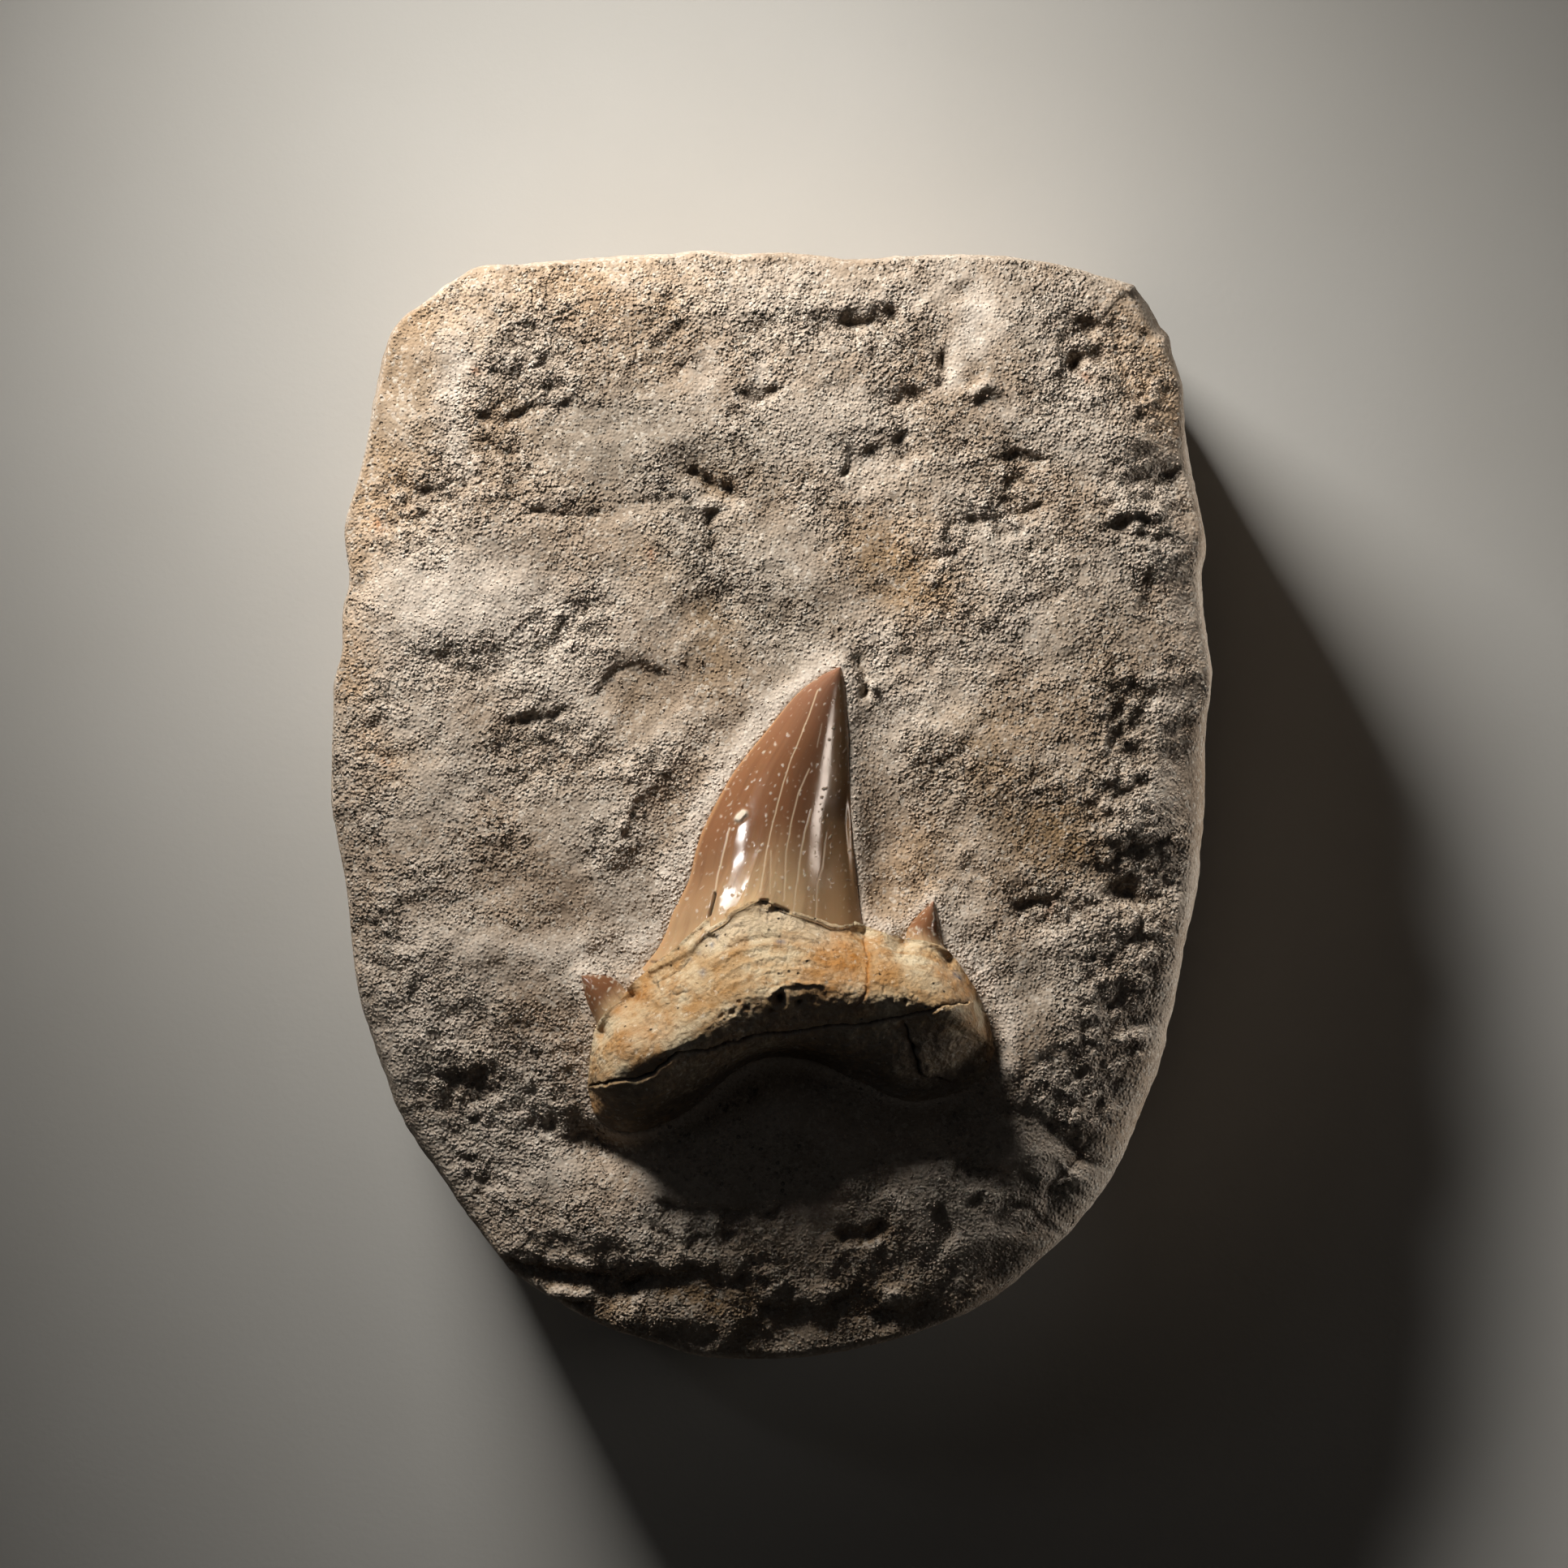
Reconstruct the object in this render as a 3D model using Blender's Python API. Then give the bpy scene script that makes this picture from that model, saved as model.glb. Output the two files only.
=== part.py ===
"""Fossil Otodus shark tooth lying in a trimmed slab of pale sandstone.

The slab lies on its flat back at z = 0 with its front up. The origin is the middle of its underside, and
+Y runs towards the end that the tooth's tip points to. Lengths are in millimetres until a mesh is made.
Heights on the front are given above or below the slab's front plane.
"""
import math

import bmesh
import bpy
import numpy as np
from mathutils import Vector
from mathutils.bvhtree import BVHTree

MM = 0.001
FRONT_PLANE = 32.0      # height of the front plane above the flat back
SHOULDER = 25.0         # height at which the slab is widest
SILHOUETTE = 1.012      # the widest line lies below the front plane, so it is a little larger than it looks
BACK_ARRIS = 0.9        # rounding of the edge between wall and back
WALL_DRAFT = 0.9        # how far the wall leans in from the shoulder to the back
WALL_UNEVENNESS = 0.35  # how far the trimmed wall wanders in and out
SOCKET_GAP = 0.3        # clearance between the tooth and its socket in the stone
CURVE_STEPS = 12        # steps between two given points of a smooth curve

SLAB_COLUMNS = 34
SLAB_ROWS = 44
RELAXING_STEPS = 60     # passes that even out the cells of the slab's front

# Each side of the slab from corner to corner, clockwise from the upper left: x, y, width of the chamfered
# band inside the widest line, and how far the front has dropped at that band.
TOP_SIDE = [
    (-38.0, 56.5, 1.2, 2.2), (-32.0, 60.0, 1.0, 1.8), (-22.0, 60.7, 0.9, 1.4), (-8.0, 61.6, 0.9, 1.2),
    (4.0, 61.2, 0.9, 1.2), (10.0, 61.0, 0.9, 1.2), (23.0, 61.3, 0.9, 1.2), (33.0, 60.1, 1.2, 1.6),
    (40.0, 58.0, 1.6, 2.0)]
RIGHT_SIDE = [
    (40.0, 58.0, 1.6, 2.0), (43.0, 53.4, 2.0, 2.2), (44.9, 50.4, 1.6, 2.2), (45.8, 46.0, 1.1, 2.0),
    (46.6, 37.5, 1.4, 2.2), (48.2, 31.0, 1.3, 2.0), (48.3, 24.0, 2.0, 2.0), (49.0, 14.0, 1.1, 2.0),
    (48.4, 4.0, 2.6, 2.4),
    (47.7, -7.0, 2.4, 2.6), (45.5, -20.5, 2.6, 2.4), (42.3, -31.3, 2.4, 2.4), (37.6, -42.1, 3.2, 2.8)]
BOTTOM_SIDE = [
    (37.6, -42.1, 3.2, 2.8), (32.0, -49.3, 2.6, 3.4), (24.8, -54.7, 1.8, 4.0), (18.0, -58.3, 1.4, 4.6),
    (9.0, -61.0, 1.2, 5.2), (-1.5, -61.6, 1.2, 5.4), (-12.0, -60.3, 1.2, 5.0), (-22.0, -56.5, 1.2, 4.4),
    (-30.0, -51.0, 1.6, 4.2)]
LEFT_SIDE = [
    (-30.0, -51.0, 1.6, 4.2), (-34.5, -45.0, 1.8, 4.6), (-40.5, -35.0, 1.6, 4.0), (-44.7, -25.0, 1.1, 2.8),
    (-46.8, -16.0, 1.0, 2.4), (-48.5, -4.0, 1.0, 2.2), (-49.1, 2.0, 1.0, 2.0), (-48.8, 13.0, 1.0, 2.0),
    (-47.2, 26.0, 1.0, 2.0), (-47.5, 30.5, 1.0, 2.2), (-46.3, 36.0, 1.2, 2.6), (-44.0, 46.0, 1.2, 2.8),
    (-41.5, 53.8, 1.2, 2.6), (-38.0, 56.5, 1.2, 2.2)]

# The larger forms of the front face: height, half width, and the line that the form follows.
FRONT_FORMS = [
    # upper left: rough hollow, scraped strip, chiselled channel and its ledges
    (-1.7, 5.0, [(-28.0, 40.0), (-30.0, 47.0)]), (-0.7, 1.8, [(-35.2, 38.0), (-35.2, 49.0)]),
    (-1.0, 1.5, [(-28.0, 32.7), (-19.0, 33.0), (-12.0, 33.7)]), (-1.7, 2.2, [(-9.5, 37.8), (-5.0, 34.6)]),
    (-1.0, 2.2, [(-6.5, 31.0), (-5.0, 23.0)]), (0.9, 4.2, [(-38.5, 22.5), (-29.5, 22.5)]),
    (-1.3, 2.4, [(-36.0, 14.5), (-29.0, 16.5), (-21.0, 20.0)]), (-1.3, 3.6, [(-15.5, 11.5), (-13.5, 11.5)]),
    (-0.8, 2.8, [(-6.5, 21.0), (-6.8, 15.5)]), (-1.7, 3.6, [(-27.5, 6.5), (-23.5, 6.5)]),
    (0.9, 2.2, [(-14.5, 3.5), (-11.5, 5.8)]), (0.9, 1.9, [(-18.5, -7.0), (-14.5, 2.5)]),
    # upper right: pits along the top, hollow at the corner, notch and channel beside the crown
    (-1.3, 1.6, [(6.5, 53.4), (13.0, 53.6)]), (-0.7, 2.0, [(23.0, 52.2), (23.4, 55.2)]),
    (-1.7, 3.4, [(35.0, 52.0), (39.5, 48.5)]), (-1.0, 1.7, [(14.0, 45.0), (15.6, 45.0)]),
    (-0.7, 2.0, [(9.5, 38.2), (14.0, 39.8)]), (-0.9, 2.0, [(27.0, 36.0), (28.8, 37.2)]),
    (-1.2, 1.7, [(20.5, 30.6), (29.5, 32.8)]), (-0.8, 2.8, [(12.5, 27.0), (14.0, 25.6)]),
    (-1.5, 1.9, [(42.5, 36.9), (44.0, 36.8)]), (-1.2, 1.9, [(39.0, 30.0), (40.5, 30.2)]),
    (-1.2, 2.0, [(41.0, 24.2), (42.8, 23.2)]), (-1.2, 2.0, [(39.0, 12.0), (39.8, 6.5)]),
    (-1.1, 2.3, [(12.6, 9.5), (11.8, 0.0), (12.4, -9.0)]), (0.9, 1.8, [(15.5, 7.4), (21.5, 8.8)]),
    (-0.7, 2.6, [(17.5, 4.0), (21.0, 4.0)]),
    # lower left: flat-lying ledges
    (-1.3, 2.1, [(-42.6, -13.5), (-42.6, -18.5)]), (0.9, 2.0, [(-33.0, -16.0), (-21.0, -16.0)]),
    (-0.9, 2.6, [(-40.0, -22.5), (-33.0, -22.5)]), (-1.3, 2.3, [(-35.0, -31.5), (-32.0, -31.5)]),
    (-0.9, 2.2, [(-24.5, -37.5), (-20.5, -37.5)]), (0.7, 2.0, [(-27.0, -41.6), (-23.0, -41.6)]),
    # right and lower right: deep rough pit, smooth slope beside the root, grooves and ledges
    (-1.3, 2.2, [(37.5, -5.5), (43.0, -6.5)]), (-2.4, 2.3, [(39.5, -9.8), (43.0, -10.4)]),
    (-1.3, 2.0, [(28.0, -11.0), (32.0, -12.0)]), (-1.7, 2.0, [(39.5, -21.8), (41.5, -22.6)]),
    (-1.1, 4.6, [(27.5, -14.0), (29.5, -27.0)]), (-0.7, 3.2, [(38.0, -16.0), (37.0, -32.0)]),
    (-1.1, 2.0, [(26.5, -33.5), (34.0, -38.5)]), (-1.2, 2.4, [(23.0, -41.0), (33.0, -44.5)]),
    (-1.5, 1.8, [(19.0, -45.0), (19.2, -47.6)]), (1.0, 1.9, [(14.0, -55.0), (16.0, -54.6)]),
    # foot of the slab: ledges that step down to the edge
    (-0.9, 1.5, [(-12.0, -45.0), (0.0, -45.4)]), (0.8, 1.5, [(-14.0, -50.6), (-4.0, -50.8)]),
    (-1.2, 1.5, [(-29.0, -52.2), (-15.0, -53.0)]), (1.2, 2.3, [(-16.0, -57.2), (-5.0, -58.4)]),
    (0.9, 1.8, [(0.5, -54.0), (5.5, -55.0)]),
    # the stone banks up along the crown's left edge, and beside the root's right end
    (1.0, 1.7, [(5.6, 15.6), (0.2, 10.6), (-5.0, 4.6), (-8.6, -2.6), (-10.8, -9.0), (-13.4, -15.6)]),
    (1.1, 1.7, [(20.6, -16.2), (24.0, -20.6), (26.2, -26.0), (26.0, -29.0)])]

# The stone is hollowed along the lower side of the root.
ROOT_MOAT = [(-22.0, -31.0), (-20.6, -36.2), (-16.0, -38.4), (-10.0, -37.0), (-5.4, -33.0), (0.0, -30.6),
             (6.0, -31.2), (11.0, -33.8), (16.0, -35.4), (22.0, -33.6), (25.6, -30.6)]
MOAT_DEPTH = 2.4
MOAT_HALF_WIDTH = 3.4

# Enamel caps, each from its tip down both edges to the neckline.
CROWN_LEFT = [(7.7, 15.3), (5.4, 14.2), (2.8, 12.2), (-0.5, 8.2), (-4.2, 3.5), (-7.3, -2.2), (-9.1, -8.2),
              (-10.9, -12.0), (-13.1, -17.0)]
CROWN_RIGHT = [(7.7, 15.3), (8.2, 13.5), (8.6, 8.0), (8.7, 3.0), (9.1, -4.0), (9.7, -10.0), (10.3, -13.8)]
CROWN_NECK = [(-13.1, -17.0), (-10.5, -17.0), (-8.3, -15.1), (-5.0, -13.0), (-3.0, -11.4), (-0.8, -10.4),
              (1.5, -11.8), (4.5, -12.7), (7.0, -13.6), (10.3, -13.8)]
LEFT_CUSP_OUTER = [(-21.0, -18.9), (-20.6, -21.0), (-20.1, -22.5), (-18.9, -25.0)]
LEFT_CUSP_INNER = [(-21.0, -18.9), (-19.5, -18.8), (-17.4, -19.2), (-15.5, -21.2)]
LEFT_CUSP_NECK = [(-18.9, -25.0), (-18.0, -22.9), (-17.0, -22.0), (-15.5, -21.2)]
RIGHT_CUSP_OUTER = [(18.0, -10.6), (16.5, -12.0), (15.2, -13.5), (14.8, -15.2)]
RIGHT_CUSP_INNER = [(18.0, -10.6), (18.7, -13.0), (19.0, -14.8), (19.8, -16.9)]
RIGHT_CUSP_NECK = [(14.8, -15.2), (16.2, -15.0), (18.5, -16.0), (19.8, -16.9)]

# The root is skinned over guide lines that run from its left end to its right end, station by station.
ROOT_LEFT_END = (-20.4, -31.4, -0.5)
ROOT_RIGHT_END = (24.9, -27.2, -0.6)
ROOT_GUIDES = [
    # upper rim, under the enamel in the middle
    [(-20.0, -27.6, 0.0), (-19.2, -24.2, 0.9), (-16.0, -20.4, 2.0), (-10.8, -15.9, 3.3), (-4.6, -11.0, 5.1),
     (3.2, -10.9, 5.1), (8.6, -12.6, 3.3), (13.6, -14.6, 1.9), (19.2, -15.8, 1.3), (23.6, -22.4, 0.3)],
    # neck
    [(-19.3, -28.6, 3.3), (-17.4, -26.0, 5.0), (-13.7, -23.2, 5.6), (-9.0, -19.6, 6.4), (-3.3, -15.8, 7.0),
     (3.4, -15.2, 7.0), (8.8, -16.4, 6.2), (13.9, -17.4, 5.9), (19.2, -18.9, 5.2), (22.7, -22.8, 3.2)],
    # crest
    [(-18.2, -30.0, 5.4), (-15.2, -28.0, 7.0), (-11.5, -26.2, 8.1), (-7.0, -23.7, 9.0), (-2.0, -21.0, 9.6),
     (3.5, -19.7, 9.6), (9.0, -20.3, 9.1), (14.0, -20.8, 8.5), (18.2, -21.6, 7.6), (21.4, -23.6, 5.6)],
    # shelf, which the long crack runs along
    [(-17.9, -31.0, 5.0), (-14.4, -29.9, 6.4), (-10.6, -27.6, 7.6), (-5.4, -26.3, 7.4), (-1.4, -25.2, 7.0),
     (3.5, -24.6, 6.7), (9.0, -24.1, 6.8), (14.0, -23.4, 7.2), (17.3, -23.4, 7.0), (20.2, -24.8, 5.4)],
    # steep lower face
    [(-17.6, -32.8, 3.0), (-13.9, -32.4, 4.6), (-9.6, -30.2, 5.2), (-4.4, -27.9, 4.8), (-1.0, -26.7, 4.6),
     (3.6, -26.4, 4.4), (9.3, -27.2, 4.6), (14.2, -28.0, 5.0), (17.8, -28.0, 5.0), (20.8, -27.4, 3.8)],
    # lower rim
    [(-19.3, -34.8, -1.0), (-15.4, -36.3, -1.2), (-9.8, -34.4, -1.2), (-5.0, -30.4, -1.0),
     (-1.0, -28.2, -0.9), (4.0, -28.3, -0.9), (9.2, -30.4, -1.1), (14.2, -32.7, -1.2),
     (18.8, -32.6, -1.2), (23.2, -30.4, -1.1)]]
ROOT_UNDERSIDE = -3.4
ROOT_COLUMNS = 44
ROOT_ROWS = 12

# The long crack across the root, cut as a narrow groove.
ROOT_CRACK = [(-19.2, -30.8), (-17.0, -30.2), (-14.0, -29.8), (-12.0, -28.5), (-10.2, -27.1), (-7.0, -27.0),
              (-3.5, -25.9), (0.0, -25.0), (4.0, -24.5), (9.0, -24.1), (13.0, -23.4), (17.0, -22.7),
              (20.6, -21.8)]
CRACK_WIDTH = 0.7
CRACK_DEPTH = 0.8

# The nutrient hole near the middle of the crest.
FORAMEN = (1.0, -21.2)
FORAMEN_WIDTH = 1.3
FORAMEN_DEPTH = 1.3
FORAMEN_SIDES = 10


def spline_span(a, b, c, d, t):
    """Places on the smooth curve's span from b to c; a and d are the neighbouring points."""
    linear = c - a
    square = 2 * a - 5 * b + 4 * c - d
    cubic = 3 * b - a - 3 * c + d
    return b + 0.5 * (linear * t + square * t ** 2 + cubic * t ** 3)


def curve_through(points, ghosts=None):
    """Fine points of a smooth curve through the given ones, all their numbers carried along."""
    nodes = np.asarray(points, float)
    if ghosts is None:
        nodes = np.vstack([2 * nodes[:1] - nodes[1:2], nodes, 2 * nodes[-1:] - nodes[-2:-1]])
    else:
        nodes = np.vstack([ghosts[0], nodes, ghosts[1]])
    t = np.linspace(0.0, 1.0, CURVE_STEPS, endpoint=False)[:, None]
    spans = [spline_span(a, b, c, d, t) for a, b, c, d in zip(nodes, nodes[1:], nodes[2:], nodes[3:])]
    return np.vstack(spans + [nodes[-2:-1]])


def evenly(curve, count):
    """The given number of points at even steps along a curve."""
    lengths = np.hypot(*np.diff(curve[:, :2], axis=0).T)
    run = np.concatenate([[0.0], np.cumsum(lengths)])
    stops = np.linspace(0.0, run[-1], count)
    return np.column_stack([np.interp(stops, run, column) for column in curve.T])


def distance_to_line(places, line):
    """Distance of each place from a line of points."""
    points = np.asarray(line, float)
    nearest = np.full(len(places), np.inf)
    for start, end in zip(points, points[1:]):
        along = end - start
        t = np.clip((places - start) @ along / (along @ along), 0.0, 1.0)
        foot = start + t[:, None] * along
        nearest = np.minimum(nearest, np.hypot(*(places - foot).T))
    return nearest


def front_relief(places):
    """Height of the front face's forms at each place, above or below the front plane."""
    height = np.zeros(len(places))
    for rise, half_width, line in FRONT_FORMS:
        height += rise * np.exp(-(distance_to_line(places, line) / half_width) ** 2.4)
    moat = distance_to_line(places, ROOT_MOAT) / MOAT_HALF_WIDTH
    return height - MOAT_DEPTH * np.exp(-moat ** 2)


def four_sided_patch(top, right, bottom, left):
    """A grid of points that fills four side lines, which run clockwise from the upper left corner."""
    lower, rightward = bottom[::-1], right[::-1]
    s = np.linspace(0.0, 1.0, len(top))[:, None, None]
    t = np.linspace(0.0, 1.0, len(left))[None, :, None]
    across = (1 - t) * lower[:, None] + t * top[:, None]
    along = (1 - s) * left[None] + s * rightward[None]
    corners = ((1 - s) * (1 - t) * lower[0] + s * (1 - t) * lower[-1]
               + (1 - s) * t * top[0] + s * t * top[-1])
    grid = across + along - corners
    for _ in range(RELAXING_STEPS):
        grid[1:-1, 1:-1] = (grid[:-2, 1:-1] + grid[2:, 1:-1] + grid[1:-1, :-2] + grid[1:-1, 2:]) / 4
    return grid


def mesh_from(name, vertices, faces):
    """A mesh in metres with its faces turned outwards."""
    mesh = bpy.data.meshes.new(name)
    mesh.from_pydata([tuple(v * MM for v in vertex) for vertex in vertices], [], faces)
    solid = bmesh.new()
    solid.from_mesh(mesh)
    quads = [face for face in solid.faces if len(face.verts) == 4]
    bmesh.ops.triangulate(solid, faces=quads, quad_method="SHORT_EDGE")
    bmesh.ops.recalc_face_normals(solid, faces=solid.faces)
    solid.to_mesh(mesh)
    solid.free()
    return mesh


def grid_faces(index):
    """Quads over a grid of vertex numbers; a quad that has lost a corner becomes a triangle."""
    faces = []
    for row, following in zip(index, index[1:]):
        for a, b, c, d in zip(row, row[1:], following[1:], following):
            corners = list(dict.fromkeys((int(a), int(b), int(c), int(d))))
            if len(corners) > 2:
                faces.append(corners)
    return faces


def slab_sides():
    """The slab's widest line as four side lines with their band width and drop."""
    sides = [TOP_SIDE, RIGHT_SIDE, BOTTOM_SIDE, LEFT_SIDE]
    counts = [SLAB_COLUMNS + 1, SLAB_ROWS + 1, SLAB_COLUMNS + 1, SLAB_ROWS + 1]
    lines = []
    for number, (side, count) in enumerate(zip(sides, counts)):
        ghosts = (sides[number - 1][-2], sides[(number + 1) % 4][1])
        line = evenly(curve_through(side, ghosts), count)
        line[:, :2] *= SILHOUETTE
        lines.append(line)
    return lines


def inset(loop, distance):
    """A closed clockwise loop moved inwards by a distance at each point."""
    tangent = np.roll(loop[:, :2], -1, axis=0) - np.roll(loop[:, :2], 1, axis=0)
    tangent /= np.hypot(*tangent.T)[:, None]
    inward = np.column_stack([tangent[:, 1], -tangent[:, 0]])
    return loop[:, :2] + inward * np.reshape(distance, (-1, 1))


def build_slab():
    """The slab: relief on the front, a chamfered shoulder, walls and a flat back."""
    sides = slab_sides()
    loop = np.vstack([side[:-1] for side in sides])
    rim = inset(loop, loop[:, 2])
    starts = np.cumsum([0] + [len(side) - 1 for side in sides])
    rim_sides = [np.take(rim, range(a, b + 1), axis=0, mode="wrap") for a, b in zip(starts, starts[1:])]
    grid = four_sided_patch(*rim_sides)
    places = grid.reshape(-1, 2)
    gaps = np.hypot(*(places[:, None] - rim[None]).transpose(2, 0, 1))
    nearest = gaps.argmin(axis=1)
    drop = loop[nearest, 3]
    roll = 1.5 + 1.2 * drop
    height = front_relief(places) - drop * np.exp(-(gaps.min(axis=1) / roll) ** 1.3)
    vertices = np.column_stack([places, FRONT_PLANE + height]).tolist()
    index = np.arange(len(places)).reshape(grid.shape[:2])
    faces = grid_faces(index)

    # The front's border in the loop's order: top, right, bottom, left.
    ring = np.concatenate([index[:-1, -1], index[-1, :0:-1], index[:0:-1, 0], index[0, :-1]])
    rim_height = np.array([vertices[i][2] for i in ring])
    half_band = np.column_stack([inset(loop, 0.35 * loop[:, 2]), 0.55 * rim_height + 0.45 * SHOULDER])
    turn = np.linspace(0.0, 2 * math.pi, len(loop), endpoint=False)
    levels = [half_band]
    for share in (1.0, 0.7, 0.37):
        wander = np.sin(7 * turn + 9 * share) + 0.7 * np.sin(17 * turn - 5 * share)
        pull = WALL_DRAFT * (1 - share) + WALL_UNEVENNESS * (1 - share) * (1.7 + wander)
        levels.append(np.column_stack([inset(loop, pull), np.full(len(loop), share * SHOULDER)]))
    levels.append(np.column_stack([inset(loop, WALL_DRAFT), np.full(len(loop), BACK_ARRIS)]))
    levels.append(np.column_stack([inset(loop, WALL_DRAFT + BACK_ARRIS), np.zeros(len(loop))]))
    for level in levels:
        below = np.arange(len(vertices), len(vertices) + len(level))
        vertices += level.tolist()
        faces += grid_faces([np.append(ring, ring[0]), np.append(below, below[0])])
        ring = below
    faces.append([int(i) for i in ring])
    return mesh_from("stone_matrix", vertices, faces)


def build_cap(name, outer, inner, neck, columns, rows, edge, swell, belly, taper):
    """A pointed enamel cap: a lens-shaped body between two edges, from its neckline to its tip."""
    left = evenly(curve_through(outer), rows + 1)[::-1]
    right = evenly(curve_through(inner), rows + 1)[::-1]
    base = evenly(curve_through(neck), columns + 1)
    u = np.linspace(0.0, 1.0, columns + 1)[None, :, None]
    v = np.linspace(0.0, 1.0, rows + 1)[:, None, None]
    chord = (1 - u) * left[:, None] + u * right[:, None]
    bow = base[None] - ((1 - u) * base[0] + u * base[-1])
    places = chord + (1 - v) ** 2 * bow
    lens = (4 * u * (1 - u))[..., 0] ** 0.85
    fade = (1 - v[..., 0]) ** taper
    rim_height = edge[0] + (edge[1] - edge[0]) * v[..., 0] + 0 * lens
    upper = rim_height + swell * fade * lens
    lower = rim_height - belly * fade * lens
    vertices, top, bottom = [], np.zeros((rows + 1, columns + 1), int), np.zeros((rows + 1, columns + 1), int)
    for j in range(rows + 1):
        for i in range(columns + 1):
            shared = i in (0, columns) or j == rows
            if j == rows and i:
                top[j, i] = bottom[j, i] = top[j, 0]
                continue
            x, y = places[j, i]
            top[j, i] = bottom[j, i] = len(vertices)
            vertices.append((x, y, FRONT_PLANE + upper[j, i]))
            if not shared:
                bottom[j, i] = len(vertices)
                vertices.append((x, y, FRONT_PLANE + lower[j, i]))
    faces = grid_faces(top) + grid_faces(bottom)
    faces += grid_faces([top[0], bottom[0]])
    return mesh_from(name, vertices, faces)


def along_spline(points, stops):
    """Places on a smooth curve through evenly counted points: stop 0 is the first point, 1 the second."""
    nodes = np.concatenate([2 * points[:1] - points[1:2], points, 2 * points[-1:] - points[-2:-1]])
    span = np.minimum(np.floor(stops).astype(int), len(points) - 2)
    t = (stops - span).reshape((-1,) + (1,) * (points.ndim - 1))
    a, b, c, d = (nodes[span + k] for k in range(4))
    return spline_span(a, b, c, d, t)


def build_root():
    """The root: a skin over its guide lines, a wall down from its rim and a flat underside."""
    guides = np.array([[ROOT_LEFT_END, *line, ROOT_RIGHT_END] for line in ROOT_GUIDES])
    stations = along_spline(guides.transpose(1, 0, 2), np.linspace(0, guides.shape[1] - 1, ROOT_COLUMNS + 1))
    skin = along_spline(stations.transpose(1, 0, 2), np.linspace(0, guides.shape[0] - 1, ROOT_ROWS + 1))
    vertices = [skin[0, 0].tolist()]
    index = np.zeros(skin.shape[:2], int)
    index[:, 1:-1] = 1 + np.arange((ROOT_ROWS + 1) * (ROOT_COLUMNS - 1)).reshape(ROOT_ROWS + 1, -1)
    vertices += skin[:, 1:-1].reshape(-1, 3).tolist()
    index[:, -1] = len(vertices)
    vertices.append(skin[0, -1].tolist())
    faces = grid_faces(index)
    rim = np.concatenate([index[0, :-1], index[-1, :0:-1]])
    below = np.arange(len(vertices), len(vertices) + len(rim))
    vertices += [[*vertices[i][:2], ROOT_UNDERSIDE] for i in rim]
    faces += grid_faces([np.append(rim, rim[0]), np.append(below, below[0])])
    faces.append([int(i) for i in below])
    raised = [(x, y, FRONT_PLANE + z) for x, y, z in vertices]
    return mesh_from("shark_tooth", raised, faces)


def surface_height(tree, x, y):
    """Height of a surface straight below a place."""
    return tree.ray_cast(Vector((x * MM, y * MM, 0.1)), Vector((0, 0, -1)))[0].z / MM


def build_foramen(tree):
    """A small round funnel to be cut into the root."""
    x, y = FORAMEN
    z = surface_height(tree, x, y)
    funnel = bmesh.new()
    bmesh.ops.create_cone(
        funnel, cap_ends=True, segments=FORAMEN_SIDES, radius1=0.25 * FORAMEN_WIDTH * MM,
        radius2=0.75 * FORAMEN_WIDTH * MM, depth=2 * FORAMEN_DEPTH * MM)
    bmesh.ops.translate(funnel, verts=funnel.verts, vec=Vector((x, y, z)) * MM)
    mesh = bpy.data.meshes.new("foramen")
    funnel.to_mesh(mesh)
    funnel.free()
    return mesh


def build_crack(tree):
    """A wedge that follows the crack's line over the root, to be cut out of it."""
    line = evenly(curve_through(ROOT_CRACK), 3 * len(ROOT_CRACK))
    tangent = np.gradient(line, axis=0)
    tangent /= np.hypot(*tangent.T)[:, None]
    side = np.column_stack([-tangent[:, 1], tangent[:, 0]]) * CRACK_WIDTH
    vertices = []
    for (x, y), (dx, dy) in zip(line, side):
        z = surface_height(tree, x, y)
        vertices += [(x - dx, y - dy, z + CRACK_DEPTH), (x + dx, y + dy, z + CRACK_DEPTH),
                     (x, y, z - CRACK_DEPTH)]
    faces = [[0, 1, 2], [len(vertices) - 3, len(vertices) - 2, len(vertices) - 1]]
    for k in range(0, len(vertices) - 3, 3):
        for a, b in ((0, 1), (1, 2), (2, 0)):
            faces.append([k + a, k + b, k + 3 + b, k + 3 + a])
    return mesh_from("root_crack", vertices, faces)


def material(name, colour, roughness):
    """A plain Principled material."""
    made = bpy.data.materials.new(name)
    made.use_nodes = True
    shader = made.node_tree.nodes["Principled BSDF"]
    shader.inputs["Base Color"].default_value = (*colour, 1.0)
    shader.inputs["Roughness"].default_value = roughness
    shader.inputs["Metallic"].default_value = 0.0
    return made


def add_object(name, mesh, parent=None, guide=False):
    """Link a mesh as an object; a guide or cutter is left out of the build."""
    made = bpy.data.objects.new(name, mesh)
    bpy.context.collection.objects.link(made)
    made.parent = parent
    if guide:
        made.hide_render = True
        made.display_type = "WIRE"
    return made


def combine(target, operand, operation):
    """A Boolean modifier that joins an operand to the target or cuts it out."""
    modifier = target.modifiers.new(f"{operation.lower()}_{operand.name}", "BOOLEAN")
    modifier.operation = operation
    modifier.solver = "EXACT"
    modifier.object = operand


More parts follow.
